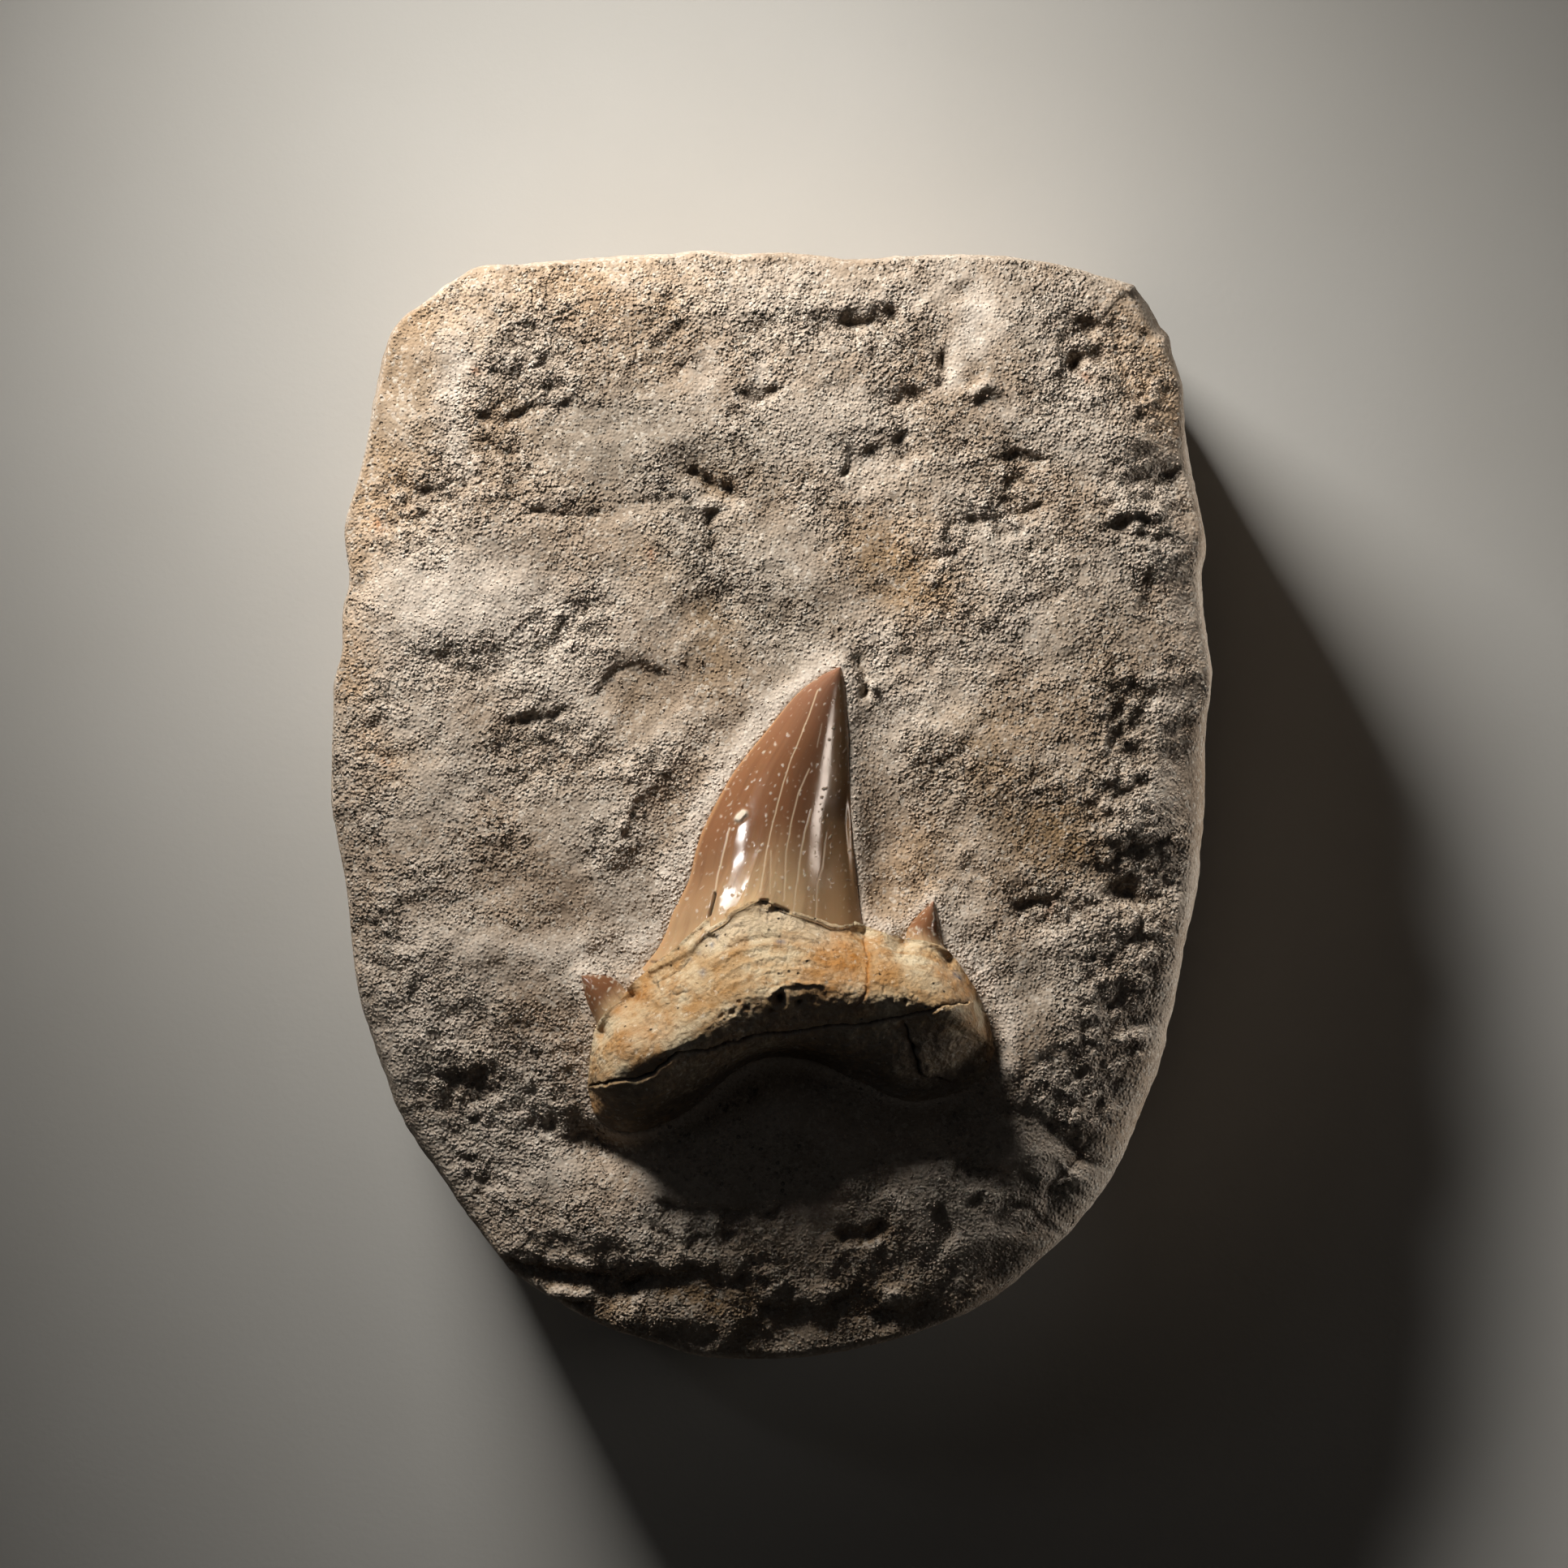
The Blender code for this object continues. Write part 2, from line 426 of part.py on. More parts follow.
def grown(piece, name):
    """A cutter with the piece's shape, let out by the socket's gap along its normals."""
    mesh = piece.data.copy()
    mesh.name = name
    solid = bmesh.new()
    solid.from_mesh(mesh)
    solid.normal_update()
    shifts = [vertex.normal * vertex.calc_shell_factor() * SOCKET_GAP * MM for vertex in solid.verts]
    for vertex, shift in zip(solid.verts, shifts):
        vertex.co += shift
    solid.to_mesh(mesh)
    solid.free()
    return add_object(name, mesh, guide=True)


def main():
    """Build the tooth, then the slab with the tooth's socket in it."""
    for existing in list(bpy.data.objects):
        bpy.data.objects.remove(existing, do_unlink=True)
    specimen = add_object("specimen", None)

    tooth = add_object("shark_tooth", build_root(), specimen)
    tooth.data.materials.append(material("fossil_tooth", (0.42, 0.27, 0.13), 0.4))
    crown = add_object("crown", build_cap(
        "crown", CROWN_LEFT, CROWN_RIGHT, CROWN_NECK, 14, 22,
        edge=(0.5, 1.0), swell=5.2, belly=2.1, taper=0.55), guide=True)
    cusps = [
        add_object("left_cusplet", build_cap(
            "left_cusplet", LEFT_CUSP_OUTER, LEFT_CUSP_INNER, LEFT_CUSP_NECK, 6, 7,
            edge=(0.7, 1.0), swell=2.6, belly=1.6, taper=0.6), guide=True),
        add_object("right_cusplet", build_cap(
            "right_cusplet", RIGHT_CUSP_OUTER, RIGHT_CUSP_INNER, RIGHT_CUSP_NECK, 6, 7,
            edge=(0.7, 1.0), swell=2.4, belly=1.6, taper=0.6), guide=True)]
    sockets = [grown(piece, f"{piece.name}_socket") for piece in (tooth, crown, *cusps)]
    root = tooth.data
    tree = BVHTree.FromPolygons([v.co for v in root.vertices], [p.vertices for p in root.polygons])
    cuts = [add_object("root_crack", build_crack(tree), guide=True),
            add_object("foramen", build_foramen(tree), guide=True)]
    for cap in (crown, *cusps):
        combine(tooth, cap, "UNION")
    for cut in cuts:
        combine(tooth, cut, "DIFFERENCE")

    stone = add_object("stone_matrix", build_slab(), specimen)
    stone.data.materials.append(material("pale_sandstone", (0.56, 0.46, 0.33), 0.9))
    for socket in sockets:
        combine(stone, socket, "DIFFERENCE")


main()
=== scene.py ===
"""Looks of a fossil Otodus tooth that lies in its slab of pale sandstone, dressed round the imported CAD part.

Lengths are in millimetres until a mesh is made. The slab lies on its flat back with its front up, x and y are
places on the front, and +y runs towards the end that the tooth's tip points to. Heights are given above or
below the slab's front plane, which is FRONT_PLANE above the back.
"""
import itertools
import logging
import math
from dataclasses import dataclass
from enum import Enum

import bmesh
import bpy
import numpy as np
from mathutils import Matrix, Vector


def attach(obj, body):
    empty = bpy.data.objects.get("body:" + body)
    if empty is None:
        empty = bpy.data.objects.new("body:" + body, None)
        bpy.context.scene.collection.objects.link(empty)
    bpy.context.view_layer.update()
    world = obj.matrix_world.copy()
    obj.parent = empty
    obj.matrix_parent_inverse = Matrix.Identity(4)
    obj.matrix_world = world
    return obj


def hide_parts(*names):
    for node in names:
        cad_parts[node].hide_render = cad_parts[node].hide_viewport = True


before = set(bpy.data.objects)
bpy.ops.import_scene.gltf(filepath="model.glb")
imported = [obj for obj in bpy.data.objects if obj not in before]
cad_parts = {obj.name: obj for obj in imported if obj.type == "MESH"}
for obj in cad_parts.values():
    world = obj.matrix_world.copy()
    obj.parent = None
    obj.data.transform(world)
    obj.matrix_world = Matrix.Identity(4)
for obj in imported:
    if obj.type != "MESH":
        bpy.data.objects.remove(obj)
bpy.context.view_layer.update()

LOG = logging.getLogger("fossil_tooth")

MM = 0.001
FRONT_PLANE = 32.0      # height of the front plane above the flat back
SHOULDER = 25.0         # height at which the slab is widest
SILHOUETTE = 1.012      # the widest line lies below the front plane, so it is a little larger than it looks
BACK_ARRIS = 0.9        # rounding of the edge between wall and back
WALL_DRAFT = 0.9        # how far the wall leans in from the shoulder to the back
CURVE_STEPS = 12        # steps between two given points of a smooth curve
SAME_POINT = 0.002      # vertices closer than this are one

# Each side of the slab from corner to corner, clockwise from the upper left: x, y, width of the chamfered
# band inside the widest line, and how far the front has dropped at that band.
TOP_SIDE = [
    (-38.0, 56.5, 1.2, 2.2), (-35.0, 58.6, 1.1, 2.0), (-32.0, 60.0, 1.0, 1.8), (-26.0, 60.3, 1.3, 1.5),
    (-19.0, 60.9, 1.3, 1.4), (-12.0, 61.2, 1.3, 1.3), (-8.0, 61.7, 1.3, 1.2), (-4.0, 61.2, 1.3, 1.2),
    (0.0, 61.5, 1.3, 1.2), (5.0, 61.2, 1.3, 1.2), (9.3, 60.7, 1.3, 1.2), (16.0, 61.2, 1.3, 1.2),
    (23.0, 61.3, 1.3, 1.2), (30.0, 60.4, 1.0, 1.4), (36.0, 59.2, 1.4, 1.8), (40.0, 58.0, 1.6, 2.0)]
RIGHT_SIDE = [
    (40.0, 58.0, 1.6, 2.0), (41.2, 56.6, 2.0, 2.2), (43.0, 53.4, 2.0, 2.2), (44.4, 51.8, 1.8, 2.2),
    (45.0, 49.6, 1.5, 2.2), (45.8, 46.0, 1.1, 2.0), (46.2, 41.0, 1.3, 2.1), (46.6, 37.5, 1.4, 2.2),
    (48.2, 31.0, 1.3, 2.0), (48.5, 28.0, 1.9, 2.0), (48.2, 24.0, 2.0, 2.0), (49.0, 14.0, 1.1, 2.0),
    (48.5, 9.0, 1.8, 2.2), (48.4, 4.0, 2.8, 2.4), (48.3, -2.0, 2.6, 2.5), (47.6, -8.0, 2.3, 2.6),
    (46.4, -15.0, 2.2, 2.5), (45.5, -20.5, 3.0, 2.4), (43.7, -27.7, 3.4, 2.4), (41.0, -35.0, 4.0, 2.6),
    (37.6, -42.1, 4.4, 2.8)]
BOTTOM_SIDE = [
    (37.6, -42.1, 4.4, 2.8), (34.6, -46.3, 4.0, 3.2), (32.0, -49.3, 3.4, 3.4), (28.0, -52.7, 2.6, 3.8),
    (22.0, -56.5, 1.6, 4.3), (18.0, -58.3, 1.4, 4.6), (11.7, -60.1, 1.2, 5.1), (4.5, -61.4, 1.2, 5.3),
    (-2.0, -61.7, 1.2, 5.4), (-8.0, -61.4, 1.2, 5.2), (-12.0, -60.2, 1.2, 5.0), (-18.0, -58.3, 1.2, 4.7),
    (-24.8, -54.9, 1.3, 4.3), (-30.0, -51.0, 1.6, 4.2)]
LEFT_SIDE = [
    (-30.0, -51.0, 1.6, 4.2), (-33.0, -47.2, 2.2, 4.6), (-36.0, -43.0, 2.4, 4.6), (-39.2, -38.0, 2.2, 4.4),
    (-41.7, -33.0, 1.6, 3.6), (-44.7, -25.0, 1.1, 2.8), (-46.0, -21.0, 1.0, 2.5), (-46.9, -15.0, 1.0, 2.4),
    (-47.5, -9.0, 1.0, 2.3), (-48.6, -3.0, 1.0, 2.2), (-49.1, 2.0, 1.0, 2.0), (-48.8, 13.0, 1.0, 2.0),
    (-47.9, 17.0, 1.0, 2.0), (-47.8, 21.0, 1.0, 2.0), (-47.1, 25.0, 1.0, 2.0), (-47.6, 30.5, 1.0, 2.2),
    (-46.3, 36.0, 1.2, 2.6), (-45.3, 40.0, 1.2, 2.7), (-44.0, 46.0, 1.2, 2.8), (-43.1, 50.5, 1.2, 2.7),
    (-41.5, 53.8, 1.2, 2.6), (-38.0, 56.5, 1.2, 2.2)]


class Profile(Enum):
    """Cross-section of a mark in a surface."""

    SWELL = "swell"      # a rounded rise or hollow
    LEDGE = "ledge"      # a sharp edge at the line, and a slow way back on the right of its course
    GROOVE = "groove"    # a narrow cut or ridge


class Tint(Enum):
    """What a stroke on the stone changes: how rough it is, a colour of its own, or painted light and shade."""

    GRIT = "grit"
    WARM = "warm"
    # pale scrapes and dust, and painted light on two broad patches
    PALE_AND_PAINTED_LIGHT = "pale"
    BROWN = "brown"
    RUST = "rust"
    # painted shade: a grey that darkens broad patches of the front
    PAINTED_SHADE = "dull"


class Lights(Enum):
    """What a lamp is there for: the light on matt surfaces, its reflection in glossy ones, or both."""

    MATT = "matt"
    GLOSS = "gloss"
    BOTH = "both"


Strokes = list[tuple[float, float, tuple[float, ...]]]

# The larger forms of the front, much as the CAD part has them: height, half width, and the line as
# x, y, x, y.
LARGE_FORMS: Strokes = [
    # upper left: rough hollow, scraped strip, chiselled channel and its ledges
    (-1.7, 5.0, (-28, 40, -30, 47)), (-0.7, 1.8, (-35.2, 38, -35.2, 49)),
    (-0.5, 1.5, (-28, 32.7, -19, 33, -12, 33.7)), (-1.7, 2.2, (-9.5, 37.8, -5, 34.6)),
    (-1.0, 2.2, (-6.5, 31, -5, 23)), (0.9, 4.2, (-38.5, 22.5, -29.5, 22.5)),
    (-0.8, 2.4, (-36, 14.5, -29, 16.5, -21, 20)), (-1.3, 3.6, (-15.5, 11.5, -13.5, 11.5)),
    (-0.8, 2.8, (-6.5, 21, -6.8, 15.5)), (-1.7, 3.6, (-27.5, 6.5, -23.5, 6.5)),
    (0.9, 2.2, (-14.5, 3.5, -11.5, 5.8)), (0.9, 1.9, (-18.5, -7, -14.5, 2.5)),
    # upper right: pits along the top, hollow at the corner, notch and channel beside the crown
    (-1.3, 1.6, (6.5, 53.4, 13, 53.6)), (-0.7, 2.0, (23, 52.2, 23.4, 55.2)),
    (-1.7, 3.4, (35, 52, 39.5, 48.5)), (-1.0, 1.7, (14, 45, 15.6, 45)),
    (-0.7, 2.0, (9.5, 38.2, 14, 39.8)), (-0.9, 2.0, (27, 36, 28.8, 37.2)),
    (-0.5, 1.7, (20.5, 30.6, 29.5, 32.8)), (-0.8, 2.8, (12.5, 27, 14, 25.6)),
    (-1.5, 1.9, (42.5, 36.9, 44, 36.8)), (-1.2, 1.9, (39, 30, 40.5, 30.2)),
    (-1.2, 2.0, (41, 24.2, 42.8, 23.2)), (-1.2, 2.0, (39, 12, 39.8, 6.5)),
    (-0.5, 2.0, (13, 9.5, 12.4, 0, 13, -9)), (0.9, 1.8, (15.5, 7.4, 21.5, 8.8)),
    (-0.7, 2.6, (17.5, 4, 21, 4)),
    # lower left: flat-lying ledges
    (-1.3, 2.1, (-42.6, -13.5, -42.6, -18.5)), (0.9, 2.0, (-33, -16, -21, -16)),
    (-0.9, 2.6, (-40, -22.5, -33, -22.5)), (-1.3, 2.3, (-35, -31.5, -32, -31.5)),
    (-0.9, 2.2, (-24.5, -37.5, -20.5, -37.5)), (0.7, 2.0, (-27, -41.6, -23, -41.6)),
    # right and lower right: deep rough pit, smooth slope beside the root, grooves and ledges
    (-1.3, 2.2, (37.5, -5.5, 43, -6.5)), (-2.4, 2.3, (39.5, -9.8, 43, -10.4)),
    (-1.3, 2.0, (28, -11, 32, -12)), (-1.7, 2.0, (39.5, -21.8, 41.5, -22.6)),
    (-0.3, 4.6, (27.5, -14, 29.5, -27)), (-0.7, 3.2, (38, -16, 37, -32)),
    (-1.1, 2.0, (26.5, -33.5, 34, -38.5)), (-1.2, 2.4, (23, -41, 33, -44.5)),
    (-0.8, 1.8, (19, -45, 19.2, -47.6)), (1.0, 1.9, (14, -55, 16, -54.6)),
    # foot of the slab: ledges that step down to the edge
    (-0.9, 1.5, (-12, -45, 0, -45.4)), (0.8, 1.5, (-14, -50.6, -4, -50.8)),
    (-1.2, 1.5, (-29, -52.2, -15, -53)), (1.2, 2.3, (-16, -57.2, -5, -58.4)),
    (0.9, 1.8, (0.5, -54, 5.5, -55)),
    # the stone banks up along the crown's left edge, and beside the root's right end
    (1.0, 1.7, (5.6, 15.6, 0.2, 10.6, -5, 4.6, -8.6, -2.6, -10.8, -9, -13.4, -15.6)),
    (1.1, 1.7, (20.6, -16.2, 24, -20.6, 26.2, -26, 26, -29)),
    (0.8, 3.2, (23.8, -18.6, 27, -23, 28, -28, 27, -31))]

# The stone is hollowed along the lower side of the root.
ROOT_MOAT = (-18.8, -36.6, -16, -38.4, -10, -37, -5.4, -33, 0, -30.6, 6, -31.2, 11, -33.8,
             16, -35.4, 19, -35)
MOAT_DEPTH = 2.4
MOAT_HALF_WIDTH = 3.4

# Smaller marks on the front: height, width and line.
STONE_MARKS: dict[Profile, Strokes] = {
    Profile.SWELL: [
        # pits and dents
        (-1.5, 0.9, (-44.5, 25.3)), (-0.9, 0.8, (-39, 34.8)), (-0.6, 1.0, (-33, 52.5)),
        (-0.7, 0.8, (-45.5, 6.5)), (-0.6, 0.7, (-43, 5)), (-0.8, 0.6, (-42, 3.2)), (-0.9, 1.0, (-7, 36)),
        (-0.9, 0.8, (6.5, 53.4, 8, 53.5)), (-0.9, 0.7, (10, 53.4)), (-0.9, 0.8, (13, 53.6)),
        (-0.7, 1.2, (22.5, 56.3)), (0.8, 1.2, (22, 45.4, 24, 46.4)), (-1.0, 1.6, (35, 50, 35.4, 53)),
        (0.9, 1.0, (35, 45.2)), (-0.7, 0.9, (13.8, 44.6)), (-0.7, 0.8, (15.8, 45.4)),
        (-0.7, 1.2, (43.2, 36.5)), (-0.8, 0.8, (22, 31.8, 24.6, 31.8)),
        (-0.9, 0.8, (25.4, 30.4, 26.8, 30.2)), (-0.7, 0.7, (31, 23.6, 32.4, 23.4)),
        (-0.6, 1.2, (38.8, 30.2, 40.2, 29.2)), (-0.6, 1.2, (41, 24.2, 42.2, 22.8)),
        (-0.5, 1.3, (39, 13, 40.6, 12.2)), (-0.5, 1.4, (38.2, 9.8, 40.6, 8.4)),
        (-0.45, 1.4, (38.6, 6.4, 40, 5.2)), (-0.5, 1.2, (36, 0, 39.6, 1.6)), (-1.0, 0.5, (10, 15)),
        (-0.9, 0.5, (10.4, 12.4)), (0.7, 0.7, (11, 13.0)), (-0.8, 0.8, (21.6, -7, 23.2, -7.2)),
        (-1.0, 1.4, (38.6, -8.8, 42.2, -11.4)), (-0.8, 0.8, (34.2, -12.4, 35.8, -12.6)),
        (-1.1, 0.9, (39, -21.8, 41.8, -23)), (-0.9, 0.9, (-35, -30.6, -32.4, -31.8)),
        (-0.6, 0.9, (-38, -33.4)), (-0.7, 0.8, (-33.4, -34.2)), (-1.2, 1.2, (8, -47.4, 11, -47.2)),
        (0.7, 1.3, (9, -48.9, 12.4, -48.4)),
        # crumbly humps left of the crown and right of the root
        (0.5, 0.8, (-14.6, 6)), (0.5, 0.7, (-12.8, 4.6)), (0.6, 0.7, (-7.8, 6, -5.4, 5.8)),
        (0.5, 0.9, (-18.4, -6.6)), (0.6, 0.8, (-17, -2.4)), (0.5, 0.7, (-15.4, 1.4)),
        (0.6, 0.8, (-11.6, -5)), (0.5, 0.7, (-9.4, -2.2)), (0.5, 0.9, (25.6, -16, 26.6, -17.6)),
        # shallow smooth bowls and scrapes
        (-0.5, 2.2, (-16, 10.4, -12.4, 11.8)), (-0.5, 1.2, (-32.5, -30)),
        (-0.35, 0.8, (-7.6, 45, -7, 50)), (-0.35, 0.8, (-2.4, 46, -1.6, 49)),
        (-0.5, 0.9, (19.4, 46.6, 20, 50.2)), (0.4, 1.6, (13, 55.4, 17.4, 55)),
        # lumps at the foot
        (0.9, 1.2, (-24, -50.8, -20.6, -51.2)), (0.9, 1.0, (-23.6, -55.4, -20.6, -55.2)),
        (0.7, 1.3, (14.2, -54.8)), (-0.8, 1.0, (18.2, -45, 19.4, -47.6))],
    Profile.LEDGE: [
        # each line runs so that the lower side is on its right
        (-0.9, 4.0, (-42.4, 36.2, -38.8, 36.1, -35.8, 36)),
        (-0.4, 2.6, (-28.4, 33.2, -22, 33.2, -10, 34)),
        (-0.7, 4.5, (-38, 16.2, -33, 17.2, -30, 19.2, -27, 20.2, -24, 22, -20, 22.6)),
        (-0.8, 3.4, (-19.4, 13.6, -17.6, 15, -15, 15.4, -12.6, 15)),
        (-0.9, 2.2, (-8.4, 37.4, -4.6, 35.6, -3.4, 34.2)),
        (-1.0, 1.8, (-9.2, 33.4, -7.4, 32.2, -5.6, 32.8)), (-0.7, 2.2, (-9, 22, -9.2, 17, -9, 14)),
        (-1.2, 2.2, (-28.4, 43.2, -25.4, 45, -22, 46.6)), (-0.7, 2.4, (-13, 49.4, -9.4, 49.8)),
        (-0.8, 2.0, (-3, 46.2, 0.6, 46)), (-1.0, 2.6, (-30, 10, -25.6, 10.4, -21.4, 9.6)),
        (-0.8, 2.0, (8, 36.6, 10.2, 39, 12, 40.8, 14.4, 41.4, 15.8, 39.8)),
        (-1.1, 2.8, (33.6, 50, 34.2, 53.4, 37, 54, 40.4, 52.4)),
        (-0.4, 2.4, (19.8, 30.8, 25, 32.6, 30.4, 33.4)), (-0.9, 3.0, (11.6, 29.6, 13.6, 29.6, 16.2, 29)),
        (-0.8, 2.2, (25.8, 38.4, 29.8, 38.2)), (-0.6, 1.8, (41, 37.4, 44.4, 37.9)),
        (-0.5, 1.9, (37.8, 30.8, 41, 31.6)), (-0.5, 1.8, (40, 25.4, 43, 24.4)),
        (-0.8, 1.8, (15.2, 16.8, 17.8, 16.8)), (-0.4, 2.4, (38.4, 14.2, 41.2, 15)),
        (-0.35, 2.2, (37.4, 11.4, 41, 10)), (-0.3, 2.0, (38, 7.6, 41, 6.4)),
        (-0.5, 2.6, (34.6, 0, 37.6, 1.8, 41, 3.4)), (-0.8, 3.0, (36, -3.2, 40, -3.8, 44, -4.8)),
        (-0.9, 3.0, (37, -6.8, 40, -8, 44, -9.4)), (-1.1, 2.8, (26.6, -10, 33.4, -10.2)),
        (-0.9, 2.0, (38, -21, 42.8, -21.4)), (-0.8, 2.0, (35.6, -18, 38, -20.2)),
        # bedding at the lower left
        (-0.9, 2.2, (-44.6, -12.6, -40.8, -13)), (-0.9, 2.0, (-36.6, -15.2, -33, -14.4, -29.6, -13.8)),
        (-0.8, 2.4, (-34.4, -18, -28, -18.6, -20.4, -18)), (-0.7, 1.8, (-40.6, -20, -34, -19.8)),
        (-0.7, 1.8, (-40.8, -22.2, -33.6, -22)), (-0.7, 1.8, (-40, -24.4, -34, -24.2)),
        (-0.7, 2.0, (-31, -25.8, -27.4, -26.2)), (-0.9, 2.4, (-36, -29.6, -31.6, -29.2)),
        (-0.7, 2.4, (-38.4, -32, -29.6, -32.6)), (-0.9, 2.2, (-26, -35.8, -19.6, -36)),
        # diagonal grooves and ledges at the lower right
        (-0.8, 1.8, (25.4, -33, 29.4, -34.4, 34.4, -38)), (-0.8, 1.8, (24.6, -36, 28.4, -37.2, 32.6, -40.4)),
        (-0.9, 2.2, (21.6, -39.8, 26.8, -40, 34, -43)), (-0.9, 2.4, (20.8, -43.4, 26, -44, 32, -47.2)),
        (-0.9, 2.0, (36.4, -26, 40.8, -26.4)), (-0.8, 2.0, (34.4, -30, 38.8, -30.8)),
        # ledges at the foot
        (-1.0, 2.2, (-13, -44, -7, -44.4, 0.6, -44)), (-0.8, 1.8, (-12.4, -46.6, -4, -46.8)),
        (-1.2, 2.0, (-15.4, -51.6, -9, -51.8, -3.4, -51.6)), (-1.4, 2.6, (-30.4, -51.4, -24, -52, -14, -52)),
        (-1.2, 2.4, (-25, -56.2, -19.6, -56)), (-1.2, 2.0, (-1, -55.8, 3, -56.4, 7, -55.8)),
        (-1.0, 2.2, (7.4, -46.4, 12.4, -46.2)), (-1.0, 2.4, (12, -56.2, 17.4, -56))],
    Profile.GROOVE: [
        (-0.7, 0.35, (-28.4, 32.7, -24, 32.8)), (-0.35, 0.3, (-24, 32.8, -18, 33, -10, 33.7)),
        (-0.8, 0.5, (-6.8, 31.6, -6.2, 30.4)), (-0.9, 0.5, (-27.6, 43.4, -22.6, 46.2)),
        (-0.6, 0.5, (-45, 1.8, -44, 2.8)), (-1.0, 0.45, (10, 16, 9.9, 14, 10.4, 12)),
        (-0.6, 0.4, (36, -18.5, 37.5, -20)), (-0.6, 0.5, (9.2, 37.6, 10.6, 39.4)),
        (-0.5, 0.5, (19, 46.4, 19.2, 50.2)), (-0.5, 0.4, (26, -34.6, 33.6, -39.6)),
        (-0.5, 0.4, (27.4, -33.6, 34, -37.4)), (-0.4, 0.4, (-46.4, -9.6, -43, -10.2)),
        (-0.4, 0.4, (-39, -27, -33, -26.8))]}
